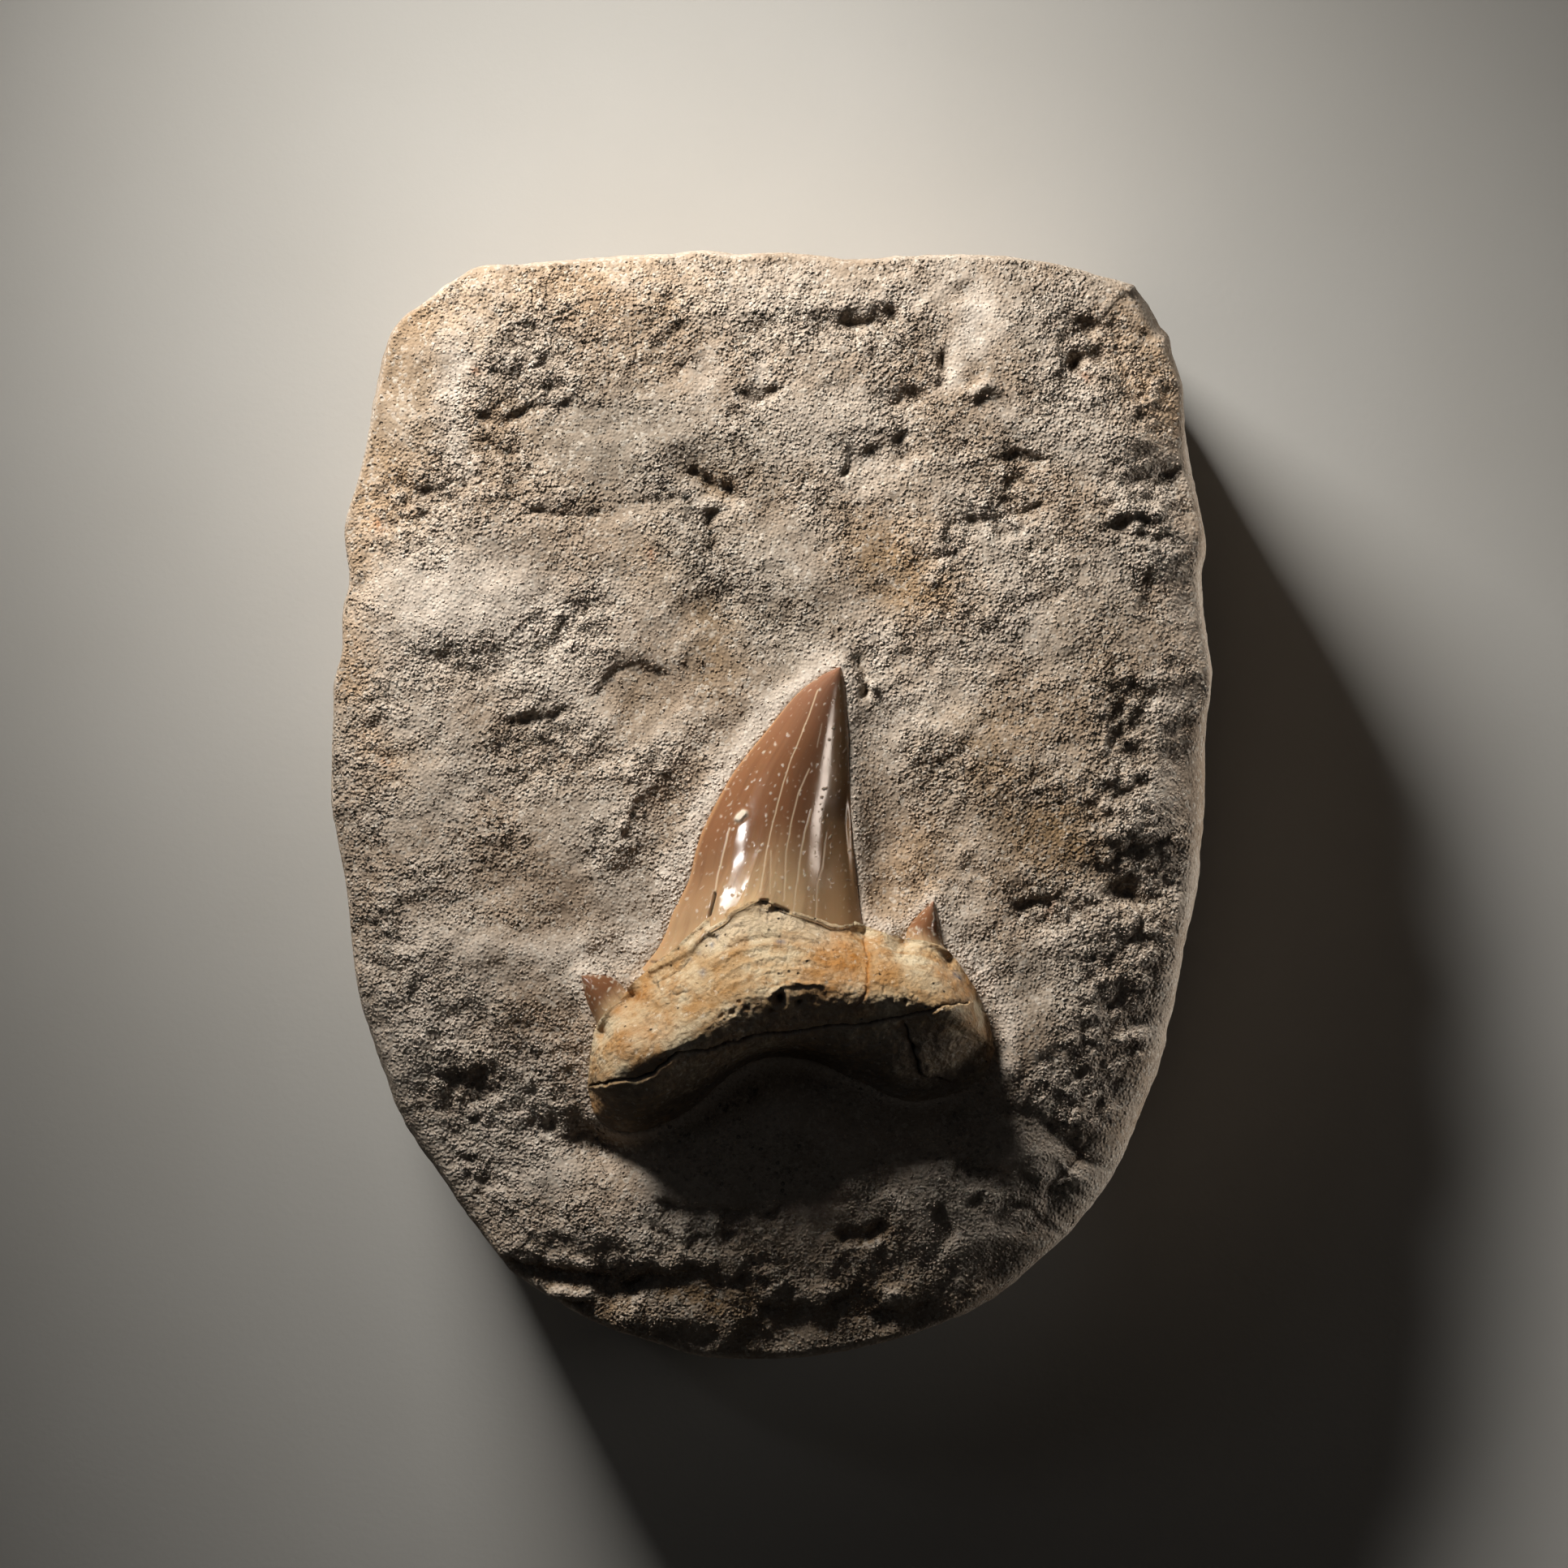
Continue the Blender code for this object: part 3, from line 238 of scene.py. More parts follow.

# How rough the stone is, where it has a colour of its own, and where painted light and painted shade lie on
# it: amount, width and line.
STONE_TINTS: dict[Tint, Strokes] = {
    Tint.GRIT: [
        # crumbly and grainy
        (0.7, 4.6, (-30, 38, -31, 44, -28, 48)), (0.35, 5.0, (-26, 54, -10, 55, 4, 54)),
        (0.5, 3.2, (-42, 37, -36, 34)), (0.55, 2.4, (-6.5, 31, -5.5, 23)),
        (0.6, 3.6, (-28, 6.5, -23, 6.5)), (0.4, 3.0, (-36, 15, -28, 17.4, -21, 20.6)),
        (0.6, 2.4, (-18.5, -7, -14.5, 2.5, -12, 6)), (0.25, 2.0, (-12, -6, -8.5, -0.5)),
        (0.6, 3.4, (35, 52.5, 38, 49, 40.6, 46)), (0.7, 3.0, (40, 37, 42.5, 30, 41.5, 23)),
        (0.8, 3.0, (40, 12.5, 39.4, 6, 38, 1)), (0.9, 4.0, (38, -5, 42, -11)),
        (0.5, 2.6, (27.5, -11.6, 32.5, -12.4)), (0.55, 4.4, (39, -16, 38, -24, 36.6, -33)),
        (0.5, 2.6, (7, 53.4, 14, 53.4)), (0.5, 2.6, (21, 31, 30, 34.5)), (0.5, 2.2, (26, 36, 29.5, 37.5)),
        (0.5, 2.4, (16.5, 26, 19, 28)), (0.5, 2.6, (16, 5.6, 22, 3.2)),
        (0.5, 2.6, (-42.6, -13, -42.4, -19)), (0.4, 3.4, (-35, -31, -31, -34)),
        (0.5, 2.6, (-25, -37.5, -20, -37.8)), (0.4, 2.0, (-12, -46.5, 0, -46.8)),
        (0.4, 2.0, (-30, -52.6, -14, -53)), (0.4, 2.4, (-33.5, -41, -29, -49)),
        (-0.15, 2.4, (6.8, 15.4, -0.4, 9.2, -6.6, 1.4, -10.4, -7, -13, -15.6)),
        (0.4, 2.6, (24.6, -15.6, 26.8, -18.4)), (0.35, 3.6, (-45, 12, -44, 2, -46, -6)),
        (0.4, 3.0, (22, -41.5, 33, -45)),
        # brushed, scraped or smeared smooth
        (-0.3, 4.0, (-42, 52, -43.4, 42)), (-0.45, 1.9, (-35.2, 38, -35.2, 49)),
        (-0.35, 4.0, (-22, 42, -12, 42)), (-0.5, 4.6, (-39, 23, -29, 23)),
        (-0.45, 3.6, (-16, 10.4, -12.4, 11.6)), (-0.5, 2.2, (-7, 21, -7, 15.5)),
        (-0.45, 1.3, (-7.2, 45, -7, 50)), (-0.45, 1.3, (-2.4, 46, -1.6, 49.4)),
        (-0.4, 2.0, (12.4, 55.4, 18, 55.2)), (-0.55, 2.2, (22.4, 52, 23.6, 55.6)),
        (-0.4, 1.6, (19.4, 46.4, 20.2, 50.6)), (-0.4, 2.4, (12, 27.4, 15, 25)),
        (-0.5, 2.2, (12.4, 9, 11.8, 0, 12.4, -9)), (-0.4, 3.6, (26, -14, 28, -28)),
        (-0.3, 5.0, (-22, -6, -20, -14)), (-0.3, 4.0, (-4, 14, -10, 18)),
        (-0.5, 2.0, (41.6, 20.4, 41.8, 15.6)), (-0.35, 1.8, (-33, -16, -21, -16)),
        (-0.3, 2.0, (-27.4, -41.6, -23, -41.6)), (-0.4, 1.2, (-5.6, 36.4)),
        (-0.25, 4.6, (-22, 28, -12, 26)), (-0.25, 4.0, (2, 28, 8, 22))],
    Tint.WARM: [
        (0.6, 6.0, (-40, 54, -42.4, 44, -44.4, 34)), (0.3, 5.0, (-30, 57.6, -8, 58.6)),
        (0.6, 3.0, (-45.4, 27, -46.6, 14)), (0.5, 3.0, (-12.6, 26.6)), (0.5, 4.0, (40, 52, 43, 44)),
        (0.6, 4.4, (14, 27, 18, 24)), (0.4, 3.4, (-44, 7, -42, 4.4)),
        (0.5, 1.6, (-19, -25, -16, -20.4, -12.4, -17.4)), (0.3, 3.2, (22.4, -21.6, 26, -26)),
        (0.4, 4.0, (11, -11, 16, -8, 17, -5))],
    Tint.PALE_AND_PAINTED_LIGHT: [
        (0.8, 1.9, (-35.2, 38, -35.2, 49.4)), (0.9, 1.9, (22.4, 51.8, 23.8, 55.6)),
        (0.5, 1.0, (-7.4, 45, -7, 50)), (0.6, 0.9, (-2.2, 46, -1.4, 49.2)),
        (0.5, 1.8, (12.4, 55.2, 18, 55.2)), (0.6, 1.0, (19.4, 46.8, 20, 50.4)),
        # painted light: these two broad pale patches brighten the left side and the lower left
        (0.65, 7.5, (-40, 22, -29, 20)), (0.4, 5.0, (-36, -26, -28, -36)),
        (0.55, 1.3, (-8.4, 33.6, -4, 33.4)), (0.5, 1.6, (11.4, 16.6, 12.8, 19)),
        (0.7, 1.7, (6.2, 15.8, 2, 12.6, -2.6, 7.4, -6.6, 1.2, -9.6, -5, -12, -12.4, -14, -17)),
        (0.6, 1.5, (20, -16.4, 23.6, -19.8, 26, -25, 25.8, -29.4)), (0.4, 1.4, (10.8, -13, 14.4, -14.2)),
        (0.4, 1.8, (-29, -16, -22, -16)), (0.5, 1.4, (42.4, 14, 42.2, 11))],
    Tint.BROWN: [
        (0.7, 2.2, (-6.4, 36, -4.6, 35.4)), (0.55, 3.0, (-7, 21.4, -6.4, 15)),
        (0.5, 3.2, (11, 27.6, 15.4, 25)), (0.65, 7.0, (24, 5, 29, -3)), (0.4, 4.0, (-15.6, 11)),
        (0.5, 2.6, (-32.5, -30)), (0.6, 2.2, (8.6, -48.4, 12.4, -48)), (0.4, 5.0, (34, -4, 40, -10)),
        (0.45, 3.0, (-10, -52, -4, -54)), (0.35, 5.0, (36, 20, 38, 6)), (0.3, 4.0, (-28, 6)),
        (0.35, 4.0, (-30, 42)), (0.7, 5.0, (-24, -55, 0, -57, 16, -55))],
    # painted shade: broad grey darkening in the upper middle, at the upper left, left of the crown and right
    # of the root
    Tint.PAINTED_SHADE: [
        (0.7, 7.0, (-20, 41, -6, 38)), (0.6, 7.0, (-8, 26, 2, 20)), (0.45, 5.0, (-40, 50, -42, 42)),
        (0.3, 4.0, (-22, 0, -16, -8)), (0.4, 4.5, (28, -18, 32, -28))],
    Tint.RUST: [
        (0.9, 0.45, (-33, 48.6)), (0.6, 0.5, (-12.8, 27)), (0.5, 0.6, (-44, 31)), (0.5, 0.5, (35.4, 48.2)),
        (0.4, 0.8, (-42.4, 5)), (0.4, 0.6, (31.6, -11.6))]}

# Enamel caps, each from its tip down both edges to the neckline.
CROWN_LEFT = [(7.7, 15.3), (6.9, 15.0), (5.4, 14.2), (2.8, 12.2), (-0.5, 8.2), (-4.2, 3.5), (-7.3, -2.2),
              (-8.3, -5.0), (-9.1, -8.2), (-10.9, -12.0), (-11.6, -14.0), (-12.6, -16.0), (-14.3, -18.1)]
CROWN_RIGHT = [(7.7, 15.3), (8.2, 13.5), (8.6, 8.0), (8.7, 3.0), (9.1, -4.0), (9.7, -10.0), (10.3, -13.8)]
CROWN_NECK = [(-14.3, -18.1), (-13.6, -18.8), (-12.9, -18.5), (-11.9, -18.0), (-10.9, -17.4), (-10.0, -16.9),
              (-9.3, -16.4), (-8.6, -15.5), (-8.1, -15.0), (-7.3, -14.4),
              (-5.0, -13.0), (-4.0, -11.9), (-3.0, -11.4), (-2.0, -10.8), (-0.8, -10.4), (0.5, -11.1),
              (1.5, -11.8), (3.5, -12.4), (5.2, -12.9), (7.0, -13.6), (9.0, -13.5), (10.3, -13.8)]
LEFT_CUSP_OUTER = [(-21.0, -18.9), (-20.6, -21.0), (-20.1, -22.5), (-18.9, -25.0)]
LEFT_CUSP_INNER = [(-21.0, -18.9), (-19.5, -18.8), (-17.4, -19.2), (-15.5, -21.2)]
LEFT_CUSP_NECK = [(-18.9, -25.0), (-18.0, -22.9), (-17.0, -22.0), (-15.5, -21.2)]
RIGHT_CUSP_OUTER = [(18.0, -10.6), (16.5, -12.0), (15.2, -13.5), (14.8, -15.2)]
RIGHT_CUSP_INNER = [(18.0, -10.6), (18.7, -13.0), (19.0, -14.8), (19.8, -16.9)]
RIGHT_CUSP_NECK = [(14.8, -15.2), (16.2, -15.0), (18.5, -16.0), (19.8, -16.9)]

# The root is skinned over guide lines that run from its left end to its right end, station by station.
ROOT_LEFT_END = (-20.4, -31.4, -0.5)
ROOT_RIGHT_END = (24.9, -27.2, -0.6)
ROOT_GUIDES = [
    # upper rim, under the enamel in the middle
    [(-20.0, -27.6, 0.0), (-19.2, -24.2, 0.9), (-16.0, -20.4, 2.0), (-10.8, -15.9, 3.3), (-4.6, -11.0, 5.1),
     (3.2, -10.9, 5.1), (8.6, -12.6, 3.3), (13.6, -14.6, 1.9), (19.2, -15.8, 1.3), (23.6, -22.4, 0.3)],
    # neck
    [(-19.3, -28.6, 3.3), (-17.4, -26.0, 5.0), (-13.7, -23.2, 5.6), (-9.0, -19.6, 6.4), (-3.3, -15.8, 7.0),
     (3.4, -15.2, 7.0), (8.8, -16.4, 6.2), (13.9, -17.4, 5.9), (19.2, -18.9, 5.2), (22.7, -22.8, 3.2)],
    # crest
    [(-18.2, -30.0, 5.4), (-15.2, -28.0, 7.0), (-11.5, -26.2, 8.1), (-7.0, -23.7, 9.0), (-2.0, -21.0, 9.6),
     (3.5, -19.7, 9.6), (9.0, -20.3, 9.1), (14.0, -20.8, 8.5), (18.2, -21.6, 8.0), (21.4, -23.6, 6.1)],
    # shelf, which the long crack runs along
    [(-17.9, -31.0, 5.0), (-14.4, -29.9, 6.4), (-10.6, -27.6, 7.6), (-5.4, -26.3, 7.6), (-1.4, -25.2, 7.5),
     (3.5, -24.6, 7.3), (9.0, -24.1, 7.2), (14.0, -23.4, 7.2), (17.3, -23.4, 7.0), (20.2, -24.8, 5.4)],
    # steep lower face
    [(-17.6, -32.8, 3.0), (-13.9, -32.4, 4.6), (-9.6, -30.2, 5.2), (-4.4, -27.9, 4.8), (-1.0, -26.7, 4.6),
     (3.6, -26.4, 4.4), (9.3, -27.2, 4.6), (14.2, -28.0, 4.5), (17.8, -28.0, 3.6), (20.8, -27.4, 2.5)],
    # lower rim
    [(-19.3, -34.8, -1.0), (-15.4, -36.3, -1.2), (-9.8, -34.4, -1.2), (-5.0, -30.4, -1.0),
     (-1.0, -28.2, -0.9), (4.0, -28.3, -0.9), (9.2, -30.4, -1.1), (14.2, -32.7, -1.2),
     (18.8, -32.6, -1.2), (23.2, -30.4, -1.1)]]
ROOT_UNDERSIDE = -3.4

ROOT_CRACK = (
    -20.3, -31.2, -18.8, -30.7, -17, -30.2, -15, -30.1, -14, -29.8, -12.7, -29.3, -12, -28.5, -11, -27.7,
    -10.2, -27.1, -9, -27, -7, -27, -6, -26.5, -5, -26.1, -3.5, -25.9, -2, -25.3, 0, -25, 2, -24.9, 4, -24.5,
    7, -24.2, 9, -24.1, 11, -23.9, 13, -23.4, 15, -23.1, 16.5, -22.8, 17.5, -22.5, 18.8, -21.9, 20.5, -21.6,
    21.5, -21.7)
SUTURE = (10.3, -14.8, 10.6, -17, 10.5, -20, 10.1, -21, 9.3, -22.3)
RIGHT_FACE_CRACK = (14.8, -24, 15.2, -25.5, 15.8, -26.9, 16.3, -28.5, 16.6, -30, 17.5, -30.3, 19.5, -30.6)
FOOT_CRACKS = [
    (-12.6, -19.6, -11.2, -18.8, -10, -18, -9, -17), (-11.3, -20.2, -10.6, -20.7, -10, -20.6, -9, -20.3),
    (-13.4, -19.2, -12.7, -19.7, -12.3, -20.1), (-6, -30.5, -7, -31.5)]

# Where the root is open and dark inside: amount, half width and line.
ROOT_OPENINGS: Strokes = [
    (1.0, 0.11, ROOT_CRACK), (0.8, 0.1, RIGHT_FACE_CRACK), *[(0.7, 0.07, line) for line in FOOT_CRACKS],
    (1.0, 0.2, (-1.0, -10.6, -0.3, -10.6)), (1.0, 0.22, (0.6, -11.3, 1.9, -11.8)),
    (1.0, 0.42, (1.0, -21.2)), (0.9, 0.24, (3.0, -21.6)), (0.8, 0.2, (14.7, -21.5)),
    (0.8, 0.26, (15.8, -26.9))]

# Marks on the root: height, width and line.
ROOT_MARKS: dict[Profile, Strokes] = {
    Profile.SWELL: [
        (0.35, 1.5, (1.0, -21.2)), (-1.5, 0.62, (1.0, -21.2)), (-0.7, 0.4, (3.0, -21.6)),
        (-0.6, 0.34, (14.7, -21.5)), (-0.6, 0.4, (15.8, -26.9)), (-0.5, 0.3, (-2.6, -22.2)),
        (-0.5, 0.3, (-4.2, -22.6)), (-0.4, 0.26, (-3.4, -21.4)), (-0.4, 0.25, (-5.4, -23)),
        (-0.5, 0.28, (0.1, -22.6)), (-0.4, 0.26, (4.6, -21.2)), (-0.3, 0.26, (12.4, -20.2)),
        (-0.5, 0.3, (-1.0, -10.6, -0.3, -10.6)), (-0.8, 0.3, (0.6, -11.3, 1.9, -11.8)),
        (0.25, 1.2, (-18.4, -24.6, -17, -22.6, -15, -21.4)), (0.25, 1.2, (15.2, -15.8, 18.4, -16.4)),
        # bulges of the two lobes and beside the suture
        (0.35, 2.2, (12.6, -17.6, 18, -18.6)), (0.3, 1.6, (8, -17.4)), (0.3, 2.6, (-15.5, -26.4))],
    Profile.LEDGE: [
        (-0.3, 1.6, RIGHT_FACE_CRACK), (0.32, 1.6, ROOT_CRACK[2:16]), (0.22, 1.4, ROOT_CRACK[40:56])],
    Profile.GROOVE: [
        (-0.7, 0.12, ROOT_CRACK), (-0.2, 0.1, SUTURE), (-0.4, 0.14, RIGHT_FACE_CRACK),
        (0.28, 0.26, (-0.3, -20.8, 0.8, -19.9, 2.5, -19.4, 5.5, -19.5)),
        (0.14, 0.24, (-6.4, -17.4, -3.5, -16, 0, -15.3, 3.5, -15.6, 6, -16.6)),
        (0.14, 0.22, (-5.6, -18.8, -3, -17.4, 0, -16.5, 3.4, -16.6, 6, -17.6)),
        (0.12, 0.22, (-4.6, -19.6, -1, -18.2, 3, -17.8, 6, -18.4)),
        (-0.2, 0.3, (-7, -16.6, -3.4, -15, 0, -14.4, 4, -14.8, 7.4, -16)),
        (-0.14, 0.2, (-7.6, -14.6, -5, -13.2, -3, -11.6, -0.8, -10.6, 1.5, -12, 4.5, -12.9,
                      7, -13.8, 10, -14)),
        *[(-0.18, 0.09, line) for line in FOOT_CRACKS]]}

# Colours on the root, and painted shade on its lower face: amount, width and line.
ROOT_STROKES: dict[str, Strokes] = {
    "rust": [(0.5, 1.1, (7, -14.6, 9, -16.6)), (0.4, 1.3, (5.6, -16.2, 8.4, -17.6)), (0.7, 0.9, (-14.2, -21)),
             (0.6, 1.0, (-17, -22.6)), (0.5, 0.35, SUTURE), (0.3, 1.4, (11.6, -16, 12.6, -18)),
             (0.5, 1.1, (18.6, -18.4, 21.4, -20.6)), (0.4, 1.6, (-16, -26, -12, -24.4)),
             (0.4, 2.0, (4, -19, 9, -19.4)), (0.4, 0.9, (-19.4, -33.4))],
    "neck": [(1.0, 1.5, (-6.6, -14.6, -4, -13.4, -1.6, -12.2, 0.6, -12.4, 3, -13.2, 6.4, -14.2))],
    "stain": [(0.7, 0.3, (-6, -14.4)), (0.7, 0.28, (-6.5, -15.3)), (0.6, 0.25, (-8.9, -17)),
              (0.6, 0.42, (-7.5, -18.4)),
              (0.6, 0.3, (0.8, -14.9, 1.4, -14.9)), (0.8, 0.35, (20.3, -18.7, 20.8, -19)),
              (0.5, 0.25, (-7.9, -16.2))],
    "pits": [(0.8, 1.1, (-5.4, -22.8, -2, -22, 0.6, -20.4)), (0.6, 0.9, (3.4, -21.8, 5, -21.2))],
    # painted shade on the root's lower face and under its right lobe
    "painted_shade": [(1.0, 4.2, (-17, -34.4, -12, -33, -6, -30, 0, -28.4, 6, -28.4, 12, -30, 20, -30)),
              (0.7, 2.4, (17, -27, 21.4, -27.4))]}

# Cracks along the crown that the matrix has filled, and the open dark ones at its foot: depth, half width
# and line. A crumb of matrix sticks to the crown, and its right side is a little hollow.
CROWN_CRACKS: Strokes = [
    (0.75, 0.07, (5.2, 12.7, 4.2, 10, 3, 7, 2, 4.5, 1.1, 1.5, 0.3, -1.5, -0.5, -5, -1.2, -9.5)),
    (0.75, 0.075, (4.2, 4, 3, 1.2, 2.3, -1.5, 1.7, -5, 1.4, -10.5)),
    (0.75, 0.075, (4.5, -0.5, 3.7, -3.2, 3.2, -6, 2.8, -9, 2.5, -11.8)),
    (0.6, 0.075, (6.2, -3, 5.7, -7, 5.2, -8.5, 5, -12.7)),
    (0.7, 0.08, (-4.6, -2.5, -5.2, -5, -5.8, -7.5, -6.2, -9.7)), (0.4, 0.1, (0, -5, -0.1, -9.7)),
    (0.3, 0.08, (5.6, 9, 5.1, 6.4))]
OPEN_CRACKS: Strokes = [
    (1.0, 0.16, (-1.1, -10.5, -0.4, -10.5)), (1.0, 0.2, (0.5, -11.1, 1.2, -11.4, 1.9, -11.7)),
    (1.0, 0.14, (-7.0, -14.4, -6.9, -12.6, -6.5, -11, -6.2, -9.7)),
    (0.7, 0.12, (-13.3, -17.3, -12.2, -17.5, -11.4, -17.2, -10.6, -17.0, -9.9, -16.7, -9.1, -16.0)),
    (0.9, 0.16, (-9.1, -16.0, -8.8, -15.8, -8.3, -15.1, -7.9, -15.0, -7.0, -14.0))]
CROWN_CRUMB: Strokes = [(1.0, 0.38, (-3.6, -1.5, -3.0, -0.9))]
CROWN_HOLLOW: Strokes = [(-0.35, 2.8, (8.2, -2, 7.2, -7, 6.6, -10, 6.4, -13))]


def srgb(colour: str) -> tuple[float, float, float, float]:
    """Turn an sRGB hex colour into linear light.

    Args:
        colour: the colour as "#RRGGBB".

    Returns:
        Red, green, blue and an alpha of 1, from 0 to 1.
    """
    shares = [int(colour[k:k + 2], 16) / 255 for k in (1, 3, 5)]
    red, green, blue = (s / 12.92 if s <= 0.04045 else ((s + 0.055) / 1.055) ** 2.4 for s in shares)
    return red, green, blue, 1.0


def per_metre(size: float) -> float:
    """How often a pattern of this size in millimetres repeats along one metre."""
    return 1.0 / (size * MM)


def smooth_step(values: np.ndarray, low: float, high: float) -> np.ndarray:
    """Rise smoothly from 0 at low to 1 at high.

    Args:
        values: what is looked up.
        low: where the rise begins.
        high: where it ends.

    Returns:
        Shares from 0 to 1.
    """
    share = np.clip((values - low) / (high - low), 0.0, 1.0)
    return share * share * (3 - 2 * share)


# Random lattices


LATTICE_SIZE = 4096
NEIGHBOURS = list(itertools.product((-1, 0, 1), repeat=3))
CORNERS = list(itertools.product((0, 1), repeat=3))


def lattice_index(cells: np.ndarray, seed: int) -> np.ndarray:
    """Scramble whole-number cells into places in a table of random values.

    Args:
        cells: cell numbers, one row each.
        seed: which scramble to use.

    Returns:
        One table place for each cell.
    """
    x, y, z = cells.T
    mixed = (x * 73856093) ^ (y * 19349663) ^ (z * 83492791) ^ (seed * 40503)
    mixed = (mixed ^ (mixed >> 13)) * 1274126177
    return (mixed ^ (mixed >> 16)) & (LATTICE_SIZE - 1)


@dataclass(frozen=True)
class LumpNoise:
    """Smooth random height whose lumps have a chosen size, the same on every run."""

    size: float
    seed: int

    def at(self, places: np.ndarray) -> np.ndarray:
        """Read the noise.

        Args:
            places: points in space, one row each.

        Returns:
            Heights of about -1 to 1.
        """
        directions = np.random.default_rng(11).normal(size=(LATTICE_SIZE, 3))
        directions /= np.linalg.norm(directions, axis=1)[:, None]
        scaled = places / self.size + 17.3 * self.seed
        cell = np.floor(scaled).astype(np.int64)
        part = scaled - cell
        ease = part ** 3 * (part * (6 * part - 15) + 10)
        height = np.zeros(len(places))
        for corner in CORNERS:
            slope = directions[lattice_index(cell + corner, self.seed)]
            weight = np.where(corner, ease, 1 - ease).prod(axis=1)
            height += weight * ((part - corner) * slope).sum(axis=1)
        return 1.7 * height


@dataclass(frozen=True)
class CrumbNoise:
    """Rounded crumbs set close together, the same on every run."""

    size: float
    seed: int

    def at(self, places: np.ndarray) -> np.ndarray:
        """Read the crumbs.

        Args:
            places: points in space, one row each.

        Returns:
            Heights from 0 between crumbs to 1 on top of one.
        """
        generator = np.random.default_rng(12)
        offsets = generator.uniform(0.0, 1.0, (LATTICE_SIZE, 3))
        heights = generator.uniform(0.35, 1.0, LATTICE_SIZE)
        scaled = places / self.size + 13.7 * self.seed
        cell = np.floor(scaled).astype(np.int64)
        crumb = np.zeros(len(places))
        for neighbour in NEIGHBOURS:
            other = cell + neighbour
            index = lattice_index(other, self.seed)
            gap = ((scaled - other - offsets[index]) ** 2).sum(axis=1)
            crumb = np.maximum(crumb, heights[index] * np.sqrt(np.clip(1 - gap / 0.55, 0.0, 1.0)))
        return crumb


def in_space(places: np.ndarray) -> np.ndarray:
    """Places on the front as points in space."""
    return np.column_stack([places, np.zeros(len(places))])


def wander(points: np.ndarray, amount: float, size: float, seed: int) -> np.ndarray:
    """Shift places at random along x and y, so that what is drawn on them looks natural.

    Args:
        points: the points in space.
        amount: about how far they shift, in millimetres.
        size: over what distance the shift changes.
        seed: the first of the two seeds.

    Returns:
        The shift of each point.
    """
    return amount * np.column_stack([LumpNoise(size, s).at(points) for s in (seed, seed + 1)])


# Lines and surfaces


def spline_span(a: np.ndarray, b: np.ndarray, c: np.ndarray, d: np.ndarray, t: np.ndarray) -> np.ndarray:
    """Find places on the smooth curve's span from b to c.

    Args:
        a: the point before the span.
        b: the span's first point.
        c: the span's last point.
        d: the point after the span.
        t: how far along the span, from 0 to 1.

    Returns:
        The places.
    """
    linear = c - a
    square = 2 * a - 5 * b + 4 * c - d
    cubic = 3 * b - a - 3 * c + d
    return b + 0.5 * (linear * t + square * t ** 2 + cubic * t ** 3)


def curve_through(points: list, ghosts: tuple | None = None) -> np.ndarray:
    """Draw a smooth curve through the given points.

    Args:
        points: the points, with any further numbers they carry.
        ghosts: the points before the first and after the last, where the curve goes on.

    Returns:
        Fine points of the curve.
    """
    nodes = np.asarray(points, float)
    if ghosts is None:
        nodes = np.vstack([2 * nodes[:1] - nodes[1:2], nodes, 2 * nodes[-1:] - nodes[-2:-1]])
    else:
        nodes = np.vstack([ghosts[0], nodes, ghosts[1]])
    t = np.linspace(0.0, 1.0, CURVE_STEPS, endpoint=False)[:, None]
    spans = [spline_span(a, b, c, d, t) for a, b, c, d in zip(nodes, nodes[1:], nodes[2:], nodes[3:])]
    return np.vstack(spans + [nodes[-2:-1]])


def evenly(curve: np.ndarray, count: int) -> np.ndarray:
    """Take points at even steps along a curve.

    Args:
        curve: the fine points of the curve.
        count: how many points to take.

    Returns:
        The points.
    """
    lengths = np.hypot(*np.diff(curve[:, :2], axis=0).T)
    run = np.concatenate([[0.0], np.cumsum(lengths)])
    stops = np.linspace(0.0, run[-1], count)
    return np.column_stack([np.interp(stops, run, column) for column in curve.T])


def along_spline(points: np.ndarray, stops: np.ndarray) -> np.ndarray:
    """Find places on a smooth curve through evenly counted points.

    Args:
        points: the points; stop 0 is the first, 1 the second and so on.
        stops: how far along.

    Returns:
        One place, or row of places, for each stop.
    """
    nodes = np.concatenate([2 * points[:1] - points[1:2], points, 2 * points[-1:] - points[-2:-1]])
    span = np.minimum(np.floor(stops).astype(int), len(points) - 2)
    t = (stops - span).reshape((-1,) + (1,) * (points.ndim - 1))
    a, b, c, d = (nodes[span + k] for k in range(4))
    return spline_span(a, b, c, d, t)


@dataclass(frozen=True)
class Reach:
    """How places lie to a drawn line."""

    distance: np.ndarray
    side: np.ndarray     # positive on the right of the line's course
    along: np.ndarray    # 0 at the line's first point, 1 at its second and so on


def reach_of(places: np.ndarray, line: tuple[float, ...] | np.ndarray) -> Reach:
    """Measure places against a line.

    Args:
        places: the places on the front, one row each.
        line: the line as x, y, x, y; a single point is a dot.

    Returns:
        Distance, side and share of the way along for each place.
    """
    points = np.reshape(line, (-1, 2)).astype(float)
    if len(points) == 1:
        gap = places - points[0]
        return Reach(np.hypot(*gap.T), np.sign(gap[:, 0]), np.zeros(len(places)))
    distance = np.full(len(places), np.inf)
    side = np.zeros(len(places))
    along = np.zeros(len(places))
    for number, (start, end) in enumerate(zip(points, points[1:])):
        course = end - start
        offset = places - start
        t = np.clip(offset @ course / (course @ course), 0.0, 1.0)
        gap = offset - t[:, None] * course
        apart = np.hypot(*gap.T)
        closer = apart < distance
        distance = np.where(closer, apart, distance)
        side = np.where(closer, np.sign(course[1] * gap[:, 0] - course[0] * gap[:, 1]), side)
        along = np.where(closer, number + t, along)
    return Reach(distance, side, along)


